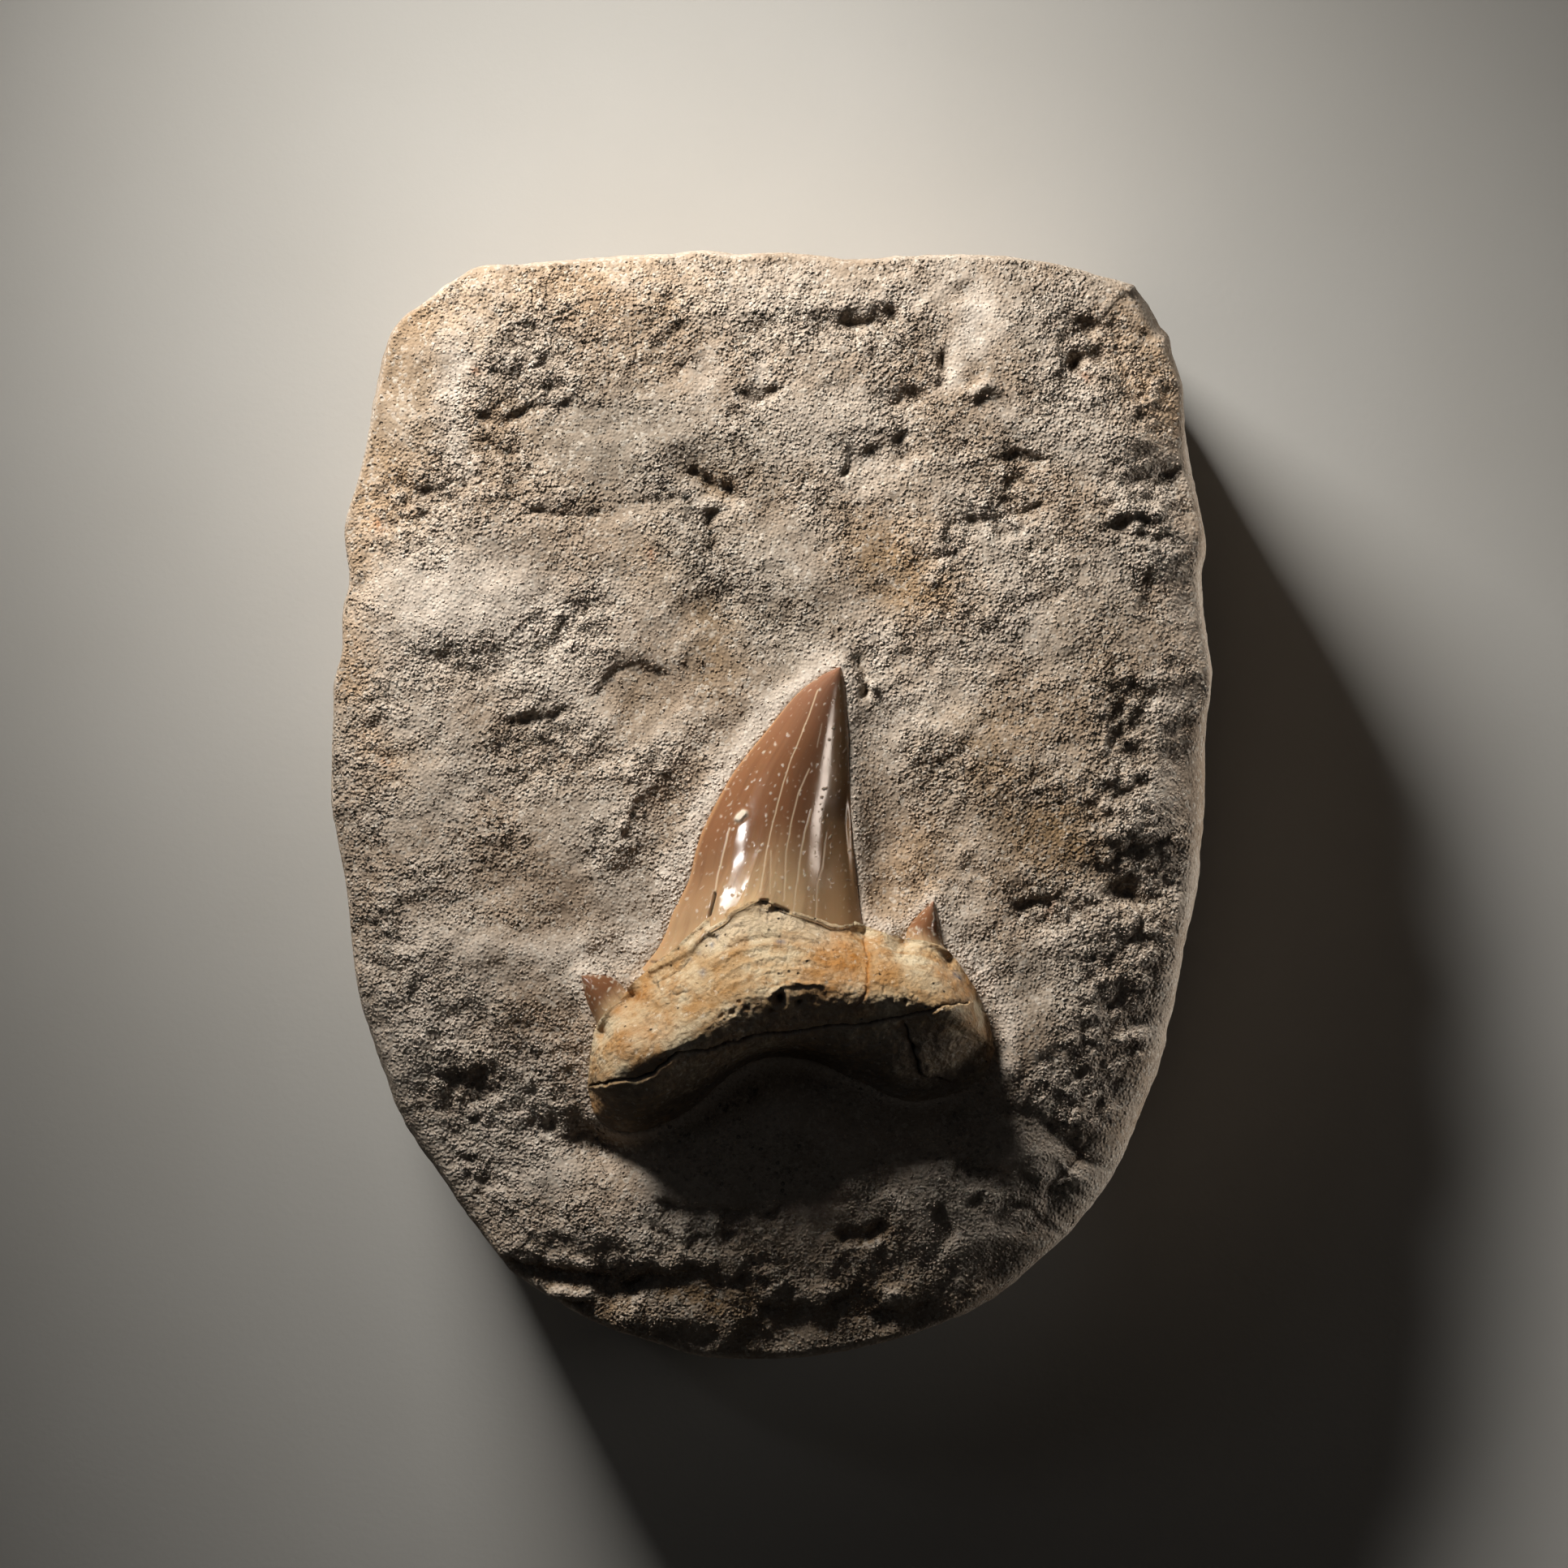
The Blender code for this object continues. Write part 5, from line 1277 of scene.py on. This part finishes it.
@dataclass
class EnamelCap:
    """A pointed enamel cap: a lens-shaped skin between two edges, from its neckline to its tip."""

    name: str
    outer: list[tuple[float, float]]
    inner: list[tuple[float, float]]
    neck: list[tuple[float, float]]
    rim: tuple[float, float]      # height of the edge at the neckline and at the tip
    swell: float                  # how far the middle stands above the edges at the neckline
    taper: float
    columns: int
    rows: int
    tone: float = 0.0             # moves the colours towards those of the crown's left side
    dusting: float = 0.0          # how much of the matrix's dust lies on it
    heel: float = 0.0             # how much higher the inner edge stands at the neckline
    underside: float = -1.6

    def skin(self) -> np.ndarray:
        """Draw the bare skin.

        Returns:
            Its points, row by row from the neckline to the tip.
        """
        left = evenly(curve_through(self.outer), self.rows + 1)[::-1]
        right = evenly(curve_through(self.inner), self.rows + 1)[::-1]
        base = evenly(curve_through(self.neck), self.columns + 1)
        u = np.linspace(0.0, 1.0, self.columns + 1)[None, :, None]
        v = np.linspace(0.0, 1.0, self.rows + 1)[:, None, None]
        chord = (1 - u) * left[:, None] + u * right[:, None]
        bow = base[None] - ((1 - u) * base[0] + u * base[-1])
        lens = (4 * u * (1 - u)) ** 0.85
        height = self.rim[0] + (self.rim[1] - self.rim[0]) * v + self.swell * (1 - v) ** self.taper * lens
        # the heel turns down again close to the inner edge
        inside = np.clip((1 - u) / 0.14, 0.0, 1.0)
        height = height + self.heel * u ** 2 * (1 - v) ** 4 * (0.3 + 0.7 * inside * (2 - inside))
        return np.concatenate([chord + (1 - v) ** 2 * bow, height], axis=2)

    def outline(self) -> np.ndarray:
        """The cap's outline on the front."""
        grid = self.skin()
        return np.vstack([grid[0, ::4], grid[::4, -1], grid[::-4, 0]])

    def worn_skin(self) -> tuple[np.ndarray, dict[str, np.ndarray]]:
        """Give the skin its relief.

        Returns:
            The skin's points, and the values there that the finish reads.
        """
        grid = self.skin()
        points = grid.reshape(-1, 3)
        wavy = points[:, :2] + wander(points, 0.06, 1.6, 6)
        filled = np.clip(stroke_sum(wavy, CROWN_CRACKS), 0, 1)
        gap = np.clip(stroke_sum(wavy, OPEN_CRACKS), 0, 1)
        uneven = LumpNoise(0.7, 10).at(points) + LumpNoise(2.4, 12).at(points)
        crumb = np.clip(stroke_sum(wavy, CROWN_CRUMB) * (1 + uneven), 0, 1)
        dusting = np.clip(self.dusting + 1.4 * LumpNoise(0.45, 15).at(points) - 0.66, 0, 0.7)
        shape = grid.shape[:2]
        rise, across = np.meshgrid(*(np.linspace(0, 1, n) for n in shape), indexing="ij")
        relief = 0.012 * LumpNoise(7.0, 8).at(points) + 0.001 * LumpNoise(2.2, 9).at(points)
        relief += -0.03 * filled - 0.4 * gap + 0.25 * crumb + stroke_sum(wavy, CROWN_HOLLOW)
        edge = np.exp(-(across / 0.025) ** 2)
        relief = relief.reshape(shape) * smooth_step(np.minimum(across, 1 - across), 0.0, 0.03)
        grid = grid + grid_normals(grid) * relief[..., None] * (1 - rise ** 4)[..., None]
        fields = {"rise": rise, "across": across * (1 - self.tone), "edge": edge, "crack": filled, "gap": gap,
                  "dust": np.maximum(crumb, dusting)}
        return grid, fields

    def build(self, material: bpy.types.Material) -> bpy.types.Object:
        """Make the cap.

        Args:
            material: its finish.

        Returns:
            The object.
        """
        grid, fields = self.worn_skin()
        return add_skin(self.name, grid, self.underside, fields, material)


@dataclass
class StoneMatrix:
    """The slab: chiselled and crumbly front, worn edges, rough walls and a flat back, all one closed body."""

    columns: int = 224
    rows: int = 288
    wall_rings: int = 26
    base_grit: float = 0.38         # how crumbly the front is where no stroke says otherwise
    wall_grit: float = 0.28
    mark_edge: float = 0.35         # over what distance a ledge's edge turns down
    seat_depth: float = 2.2         # how far the stone goes down under the tooth
    evening_rounds: int = 60        # how often the front's grid is evened out at each fineness
    wearing_rounds: int = 14        # how often the front is levelled to tell what stands out of it

    def sides(self) -> list[np.ndarray]:
        """Draw the slab's widest line.

        Returns:
            Four side lines, with band width and drop at each point.
        """
        sides = [TOP_SIDE, RIGHT_SIDE, BOTTOM_SIDE, LEFT_SIDE]
        counts = [self.columns + 1, self.rows + 1, self.columns + 1, self.rows + 1]
        lines = []
        for number, (side, count) in enumerate(zip(sides, counts)):
            ghosts = (sides[number - 1][-2], sides[(number + 1) % 4][1])
            line = evenly(curve_through(side, ghosts), count)
            line[:, :2] *= SILHOUETTE
            lines.append(line)
        return lines

    def patch(self, sides: list[np.ndarray]) -> np.ndarray:
        """Fill four side lines with an even grid of places, first coarsely and then ever finer.

        Args:
            sides: the lines, clockwise from the upper left corner.

        Returns:
            The grid, columns first.
        """
        grid = None
        for step in (8, 4, 2, 1):
            top, right, bottom, left = (side[::step, :2] for side in sides)
            lower, rightward = bottom[::-1], right[::-1]
            s = np.linspace(0.0, 1.0, len(top))[:, None, None]
            t = np.linspace(0.0, 1.0, len(left))[None, :, None]
            across = (1 - t) * lower[:, None] + t * top[:, None]
            upward = (1 - s) * left[None] + s * rightward[None]
            corners = (1 - s) * (1 - t) * lower[0] + s * (1 - t) * lower[-1]
            corners = corners + (1 - s) * t * top[0] + s * t * top[-1]
            filled = across + upward - corners
            if grid is not None:
                finer = np.zeros_like(filled)
                finer[::2, ::2] = grid
                finer[1::2, ::2] = (grid[1:] + grid[:-1]) / 2
                finer[:, 1::2] = (finer[:, :-2:2] + finer[:, 2::2]) / 2
                filled[1:-1, 1:-1] = finer[1:-1, 1:-1]
            grid = filled
            for _ in range(self.evening_rounds):
                grid[1:-1, 1:-1] = (grid[:-2, 1:-1] + grid[2:, 1:-1] + grid[1:-1, :-2] + grid[1:-1, 2:]) / 4
        return grid

    def roughness_of(self, points: np.ndarray, grit: np.ndarray) -> np.ndarray:
        """The stone's own unevenness, from broad lumps down to crumbs.

        Args:
            points: points in space.
            grit: how crumbly the stone is at each.

        Returns:
            Height at each point.
        """
        coarse = np.clip(grit, 0.0, 1.2)
        height = 0.5 * LumpNoise(13.0, 21).at(points) + 0.34 * LumpNoise(5.2, 22).at(points)
        ridged = 1 - 2 * np.abs(LumpNoise(3.4, 23).at(points))
        height += (0.06 + 0.16 * coarse) * ridged
        height += (0.08 + 0.10 * coarse) * LumpNoise(1.5, 26).at(points)
        height += (0.02 + 0.42 * coarse ** 2) * (CrumbNoise(1.7, 24).at(points) - 0.5)
        height += (0.03 + 0.2 * coarse ** 2) * (CrumbNoise(0.95, 25).at(points) - 0.5)
        return height

    def hewn(self, places: np.ndarray) -> np.ndarray:
        """Tell how strongly the marks in the front stand out.

        Args:
            places: the places on the front.

        Returns:
            The factor for the height of the marks at each place.
        """
        x, y = places.T
        # more in the upper middle
        factor = 0.26 + 0.3 * smooth_step(y, 28, 31) * smooth_step(x, -12, -9) * smooth_step(-x, -38, -34)
        # less in the flat bedding at the lower left
        factor -= 0.12 * smooth_step(-x, 8, 14) * smooth_step(-y, 10, 16) * smooth_step(y, -46, -42)
        # most in the notch beside the crown's tip, and somewhat more at the right side and at the foot
        factor += 0.45 * np.exp(-((x - 10.5) / 2.5) ** 2 - ((y - 14) / 3) ** 2)
        factor += 0.06 * smooth_step(x, 33, 38) + 0.2 * smooth_step(-y, 38, 46)
        return factor

    def front(self, places: np.ndarray, rim: np.ndarray, drop: np.ndarray,
              footprints: list[np.ndarray]) -> tuple[np.ndarray, dict[str, np.ndarray]]:
        """Shape the front.

        Args:
            places: the places on the front.
            rim: the front's border.
            drop: how far the front has dropped at each point of the border.
            footprints: outlines of what lies in the stone.

        Returns:
            The height at each place, and the values that the finish reads.
        """
        spread = in_space(places)
        warp = wander(spread, 1.3, 6.0, 31)
        warp += wander(spread, 0.8, 2.4, 33)
        wavy = places + warp
        tints = {tint.value: stroke_sum(wavy, strokes) for tint, strokes in STONE_TINTS.items()}
        patchy = 0.44 * LumpNoise(7.0, 35).at(spread) + 0.2 * LumpNoise(2.8, 36).at(spread)
        tints["grit"] = np.clip(self.base_grit + tints["grit"] + patchy, 0.0, 1.2)
        broken = self.hewn(places) * np.clip(1 + 1.7 * LumpNoise(2.8, 37).at(spread), 0.0, 1.7)
        height = 0.45 * stroke_sum(places + 0.5 * warp, LARGE_FORMS)
        height += broken * mark_height(wavy, STONE_MARKS, self.mark_edge)
        height -= MOAT_DEPTH * np.exp(-(reach_of(places, ROOT_MOAT).distance / MOAT_HALF_WIDTH) ** 2)
        rough = self.roughness_of(spread, tints["grit"])
        height += rough
        closed_rim = np.vstack([rim[::4], rim[:1]])
        reach = reach_of(places, closed_rim.ravel())
        dropped = np.interp(4 * reach.along, np.arange(len(drop) + 1), np.append(drop, drop[0]))
        worn_width = 1.5 + 1.2 * dropped + 2.0 * np.clip(dropped - 3.0, 0.0, None)
        height -= dropped * np.exp(-(reach.distance / worn_width) ** 1.3)
        # the stone comes up to the edge of what lies in it, and goes down under it
        for loop in footprints:
            closed = np.vstack([loop, loop[:1]])
            reach = reach_of(places, closed[:, :2].ravel())
            meets = np.minimum(np.interp(reach.along, np.arange(len(closed)), closed[:, 2]), 1.5)
            near = np.exp(-(reach.distance / 1.4) ** 2)
            height += near * (meets - 0.1 + 0.4 * rough - height)
            seat = self.seat_depth * smooth_step(reach.distance, 0.1, 1.6)
            height -= np.where(inside_loop(places, loop[:, :2]), seat, 0.0)
        return height, tints

    def build(self, material: bpy.types.Material,
              footprints: list[np.ndarray]) -> tuple[bpy.types.Object, np.ndarray, dict[str, np.ndarray]]:
        """Make the slab.

        Args:
            material: its finish.
            footprints: outlines of what lies in the stone.

        Returns:
            The object, the points of its front, and the values there that the finish reads.
        """
        sides = self.sides()
        loop = np.vstack([side[:-1] for side in sides])
        rim = inset(loop, loop[:, 2])
        starts = np.cumsum([0] + [len(side) - 1 for side in sides])
        rim_sides = [np.take(rim, range(a, b + 1), axis=0, mode="wrap") for a, b in zip(starts, starts[1:])]
        grid = self.patch(rim_sides)
        places = grid.reshape(-1, 2)
        height, tints = self.front(places, rim, loop[:, 3], footprints)
        shape = grid.shape[:2]
        worn = height.reshape(shape).copy()
        for _ in range(self.wearing_rounds):
            around = np.pad(worn, 1, mode="edge")
            worn = (around[:-2, 1:-1] + around[2:, 1:-1] + around[1:-1, :-2] + around[1:-1, 2:]) / 4
        # soil and painted shade lie in what is lower than its surroundings, and what stands out is rubbed pale
        tints["hollow"] = np.clip((worn.ravel() - height - 0.05) / 0.5, 0.0, 1.0)
        tints["raised"] = np.clip((height - worn.ravel() - 0.02) / 0.4, 0.0, 1.0)
        index = np.arange(len(places)).reshape(shape)
        ring = np.concatenate([index[:-1, -1], index[-1, :0:-1], index[:0:-1, 0], index[0, :-1]])
        vertices = [np.column_stack([places, FRONT_PLANE + height])]
        faces = grid_quads(index)
        fields = {name: [values] for name, values in tints.items()}
        on_wall = {name: np.clip(values[index[0, 0]], 0, 0.3) for name, values in tints.items()}
        on_wall["grit"] = self.wall_grit
        rim_height = vertices[0][ring, 2]
        count = len(places)
        for level in self.wall(loop, rim_height):
            below = count + np.arange(len(loop))
            faces = np.vstack([faces, band_quads(ring, below)])
            vertices.append(level)
            count += len(loop)
            ring = below
            for name, values in fields.items():
                values.append(np.full(len(loop), on_wall[name]))
        stacked = {name: np.concatenate(values) for name, values in fields.items()}
        closed = faces.tolist() + [ring.tolist()]
        slab = add_piece("stone_slab", np.vstack(vertices), closed, stacked, material)
        on_front = {name: values.reshape(shape) for name, values in tints.items()}
        return slab, vertices[0].reshape(*shape, 3), on_front

    def wall(self, loop: np.ndarray, rim_height: np.ndarray) -> list[np.ndarray]:
        """Rings of points down the chamfer and the wall to the back.

        Args:
            loop: the widest line, with band width and drop.
            rim_height: height of the front's border above the back.

        Returns:
            The rings from top to bottom.
        """
        # chamfer, wall and rounded lower edge
        levels = []
        for share in (0.3, 0.6, 0.85, 1.0):
            turn = math.sin(share * math.pi / 2)
            height = rim_height + (SHOULDER - rim_height) * (1 - math.cos(share * math.pi / 2)) ** 0.8
            levels.append((loop[:, 2] * (1 - turn), height))
        for share in np.linspace(1.0, 0.0, self.wall_rings)[1:-1]:
            height = BACK_ARRIS + share * (SHOULDER - BACK_ARRIS)
            levels.append((np.full(len(loop), WALL_DRAFT * (1 - share)), np.full(len(loop), height)))
        for turn in np.radians((0.0, 45.0, 90.0)):
            pull = WALL_DRAFT + BACK_ARRIS * (1 - math.cos(turn))
            height = BACK_ARRIS * (1 - math.sin(turn))
            levels.append((np.full(len(loop), pull), np.full(len(loop), height)))
        rings = []
        for pull, height in levels:
            places = inset(loop, pull)
            points = np.column_stack([places, height])
            fade = smooth_step(height, 0.0, 3.0) * smooth_step(rim_height - height, 0.0, 2.5)
            bedding = LumpNoise(1.0, 41).at(points / (9.0, 9.0, 2.4))
            rough = 0.5 * self.roughness_of(points, np.full(len(loop), 0.5)) + 0.35 * bedding - 0.45
            rings.append(np.column_stack([inset(loop, pull - rough * fade), height]))
        return rings


GRAIN_TIPS = 6      # corners of a grain


@dataclass
class SandGrains:
    """Sand grains that stand out of the stone's front: eight-sided bodies, joined in one mesh."""

    name: str
    seed: int
    count: int = 20000
    sizes: tuple[float, float] = (0.12, 0.27)      # smallest and largest half width
    sunk: float = 0.25                             # share of its half width that a grain's middle lies deep

    def build(self, material: bpy.types.Material, grid: np.ndarray,
              fields: dict[str, np.ndarray]) -> bpy.types.Object:
        """Strew the grains, most of them where the stone is crumbly.

        Args:
            material: the stone's finish.
            grid: the front's points.
            fields: values at each point of the front that the finish reads.

        Returns:
            The object.
        """
        chance = np.random.default_rng(self.seed)
        across, along = grid[1:, :-1] - grid[:-1, :-1], grid[:-1, 1:] - grid[:-1, :-1]
        share = np.abs(np.cross(across[..., :2], along[..., :2])) * (0.15 + fields["grit"][:-1, :-1] ** 2)
        cells = chance.choice(share.size, self.count, p=share.ravel() / share.sum())
        i, j = np.unravel_index(cells, share.shape)
        s, t = chance.uniform(0, 1, (2, self.count))
        weights = ((1 - s) * (1 - t), s * (1 - t), (1 - s) * t, s * t)
        corners = ((i, j), (i + 1, j), (i, j + 1), (i + 1, j + 1))

        def between(values: np.ndarray) -> np.ndarray:
            """Values at the grains' places, read between the four points round each."""
            wide = (-1,) + (1,) * (values.ndim - 2)
            return sum(weight.reshape(wide) * values[corner] for weight, corner in zip(weights, corners))

        size = self.sizes[0] + (self.sizes[1] - self.sizes[0]) * chance.uniform(0, 1, self.count) ** 2
        turn = chance.normal(size=(self.count, 3, 3))
        axes = np.linalg.qr(turn)[0] * (size[:, None] * chance.uniform(0.7, 1.1, (self.count, 3)))[..., None]
        tips = np.concatenate([axes, -axes], axis=1)
        middle = between(grid) + np.column_stack([np.zeros((self.count, 2)), -self.sunk * size])
        vertices = (middle[:, None] + tips).reshape(-1, 3)
        sides = np.array(list(itertools.product((0, 3), (1, 4), (2, 5))))
        faces = (sides + GRAIN_TIPS * np.arange(self.count)[:, None, None]).reshape(-1, 3)
        values = {name: np.repeat(between(field), GRAIN_TIPS) for name, field in fields.items()}
        return add_piece(self.name, vertices, faces.tolist(), values, material)


@dataclass(frozen=True)
class Lamp:
    """A soft rectangular lamp."""

    name: str
    place: tuple[float, float, float]
    aim: tuple[float, float, float]
    size: tuple[float, float]
    power: float
    lights: Lights
    spread: float = 180.0
    colour: str = "#FFFEFB"

    def hang(self) -> None:
        """Put the lamp in the scene."""
        light = bpy.data.lights.new(self.name, "AREA")
        light.shape = "RECTANGLE"
        light.size, light.size_y = (side * MM for side in self.size)
        light.energy = self.power
        light.color = srgb(self.colour)[:3]
        light.spread = math.radians(self.spread)
        lamp = bpy.data.objects.new(self.name, light)
        lamp.location = Vector(self.place) * MM
        lamp.rotation_euler = (Vector(self.aim) - Vector(self.place)).to_track_quat("-Z", "Y").to_euler()
        lamp.visible_camera = False
        lamp.visible_diffuse = self.lights is not Lights.GLOSS
        lamp.visible_glossy = self.lights is not Lights.MATT
        bpy.context.scene.collection.objects.link(lamp)


@dataclass(frozen=True)
class Studio:
    """The pale board, the lamps and the camera that looks straight down."""

    board_side: float = 1600.0
    board_steps: int = 9
    air: str = "#F4F0EA"
    view_centre: tuple[float, float] = (1.44, 2.34)
    camera_height: float = 612.0
    frame_width: float = 173.9       # what the picture shows at the front plane
    sensor: float = 36.0
    ambient: float = 0.012

    def lamps(self) -> list[Lamp]:
        """Place the lamps.

        Returns:
            The key lamp at the upper left, two that the enamel mirrors, and one for the slab's right edge.
        """
        return [
            Lamp("key_lamp", (-125, 238, 142), (5, 33, FRONT_PLANE), (110, 50), 0.19, Lights.MATT, 56),
            Lamp("streak_lamp", (-203, 84, 250), (-4, -7, FRONT_PLANE), (15, 80), 0.26, Lights.GLOSS),
            Lamp("right_strip", (236, 2, 232), (5, -2, FRONT_PLANE), (66, 60), 0.16, Lights.GLOSS,
                 colour="#FFEEDF"),
            Lamp("edge_lamp", (84, -4, 24), (47, -4, 28), (110, 6), 0.006, Lights.BOTH, 70)]

    def build(self, material: bpy.types.Material) -> None:
        """Set up board, lamps, surroundings and camera.

        Args:
            material: the board's finish.
        """
        half = self.board_side / 2
        steps = np.linspace(-half, half, self.board_steps)
        points = [(x * MM, y * MM, 0.0) for y in steps for x in steps]
        index = np.arange(len(points)).reshape(len(steps), len(steps))
        mesh = bpy.data.meshes.new("board")
        mesh.from_pydata(points, [], grid_quads(index).tolist())
        mesh.materials.append(material)
        board = bpy.data.objects.new("board", mesh)
        bpy.context.scene.collection.objects.link(board)
        for lamp in self.lamps():
            lamp.hang()
        world = bpy.data.worlds.new("surroundings")
        world.use_nodes = True
        surroundings = world.node_tree.nodes["Background"]
        surroundings.inputs["Color"].default_value = srgb(self.air)
        surroundings.inputs["Strength"].default_value = self.ambient
        bpy.context.scene.world = world
        lens = bpy.data.cameras.new("camera")
        lens.sensor_width = self.sensor
        lens.lens = self.sensor * (self.camera_height - FRONT_PLANE) / self.frame_width
        lens.clip_start, lens.clip_end = 0.01, 10.0
        camera = bpy.data.objects.new("camera", lens)
        camera.location = (self.view_centre[0] * MM, self.view_centre[1] * MM, self.camera_height * MM)
        bpy.context.scene.collection.objects.link(camera)
        bpy.context.scene.camera = camera
        bpy.context.scene.view_settings.view_transform = "Standard"


def report(piece: bpy.types.Object) -> None:
    """Log what was built."""
    LOG.info("%s: %d faces", piece.name, len(piece.data.polygons))


def main() -> None:
    """Build the tooth, the slab that it lies in and the studio, and hide the CAD parts that they dress."""
    logging.basicConfig(level=logging.INFO, format="%(message)s")
    enamel = PolishedEnamel().material()
    root = ToothRoot()
    caps = [
        EnamelCap("tooth_crown", CROWN_LEFT, CROWN_RIGHT, CROWN_NECK, rim=(0.5, 1.0), swell=4.5, taper=0.55,
                  columns=220, rows=240, heel=2.2),
        EnamelCap("cusplet_left", LEFT_CUSP_OUTER, LEFT_CUSP_INNER, LEFT_CUSP_NECK, rim=(0.7, 1.0), swell=1.6,
                  taper=0.6, columns=60, rows=70, tone=0.3, dusting=0.3),
        EnamelCap("cusplet_right", RIGHT_CUSP_OUTER, RIGHT_CUSP_INNER, RIGHT_CUSP_NECK, rim=(0.7, 1.0),
                  swell=1.6, taper=0.6, columns=60, rows=70, tone=0.1, dusting=0.3)]
    necklines = [cap.worn_skin()[0][0] for cap in caps]
    pieces = [(root.build(WeatheredRoot().material(), necklines), "shark_tooth", "tooth_root")]
    pieces += [(cap.build(enamel), "shark_tooth", "tooth_enamel") for cap in caps]
    footprints = [shape.outline() for shape in (root, *caps)]
    stone = BrushedSandstone().material()
    slab, front, fields = StoneMatrix().build(stone, footprints)
    grains = [SandGrains(f"sand_grains_{n}", seed=n).build(stone, front, fields) for n in (1, 2, 3)]
    pieces += [(piece, "stone_matrix", "stone_matrix") for piece in (slab, *grains)]
    for piece, cad_node, slot in pieces:
        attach(piece, "root")
        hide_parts(cad_node)
        report(piece)
    Studio().build(PaleBoard().material())


if __name__ == "__main__":
    main()
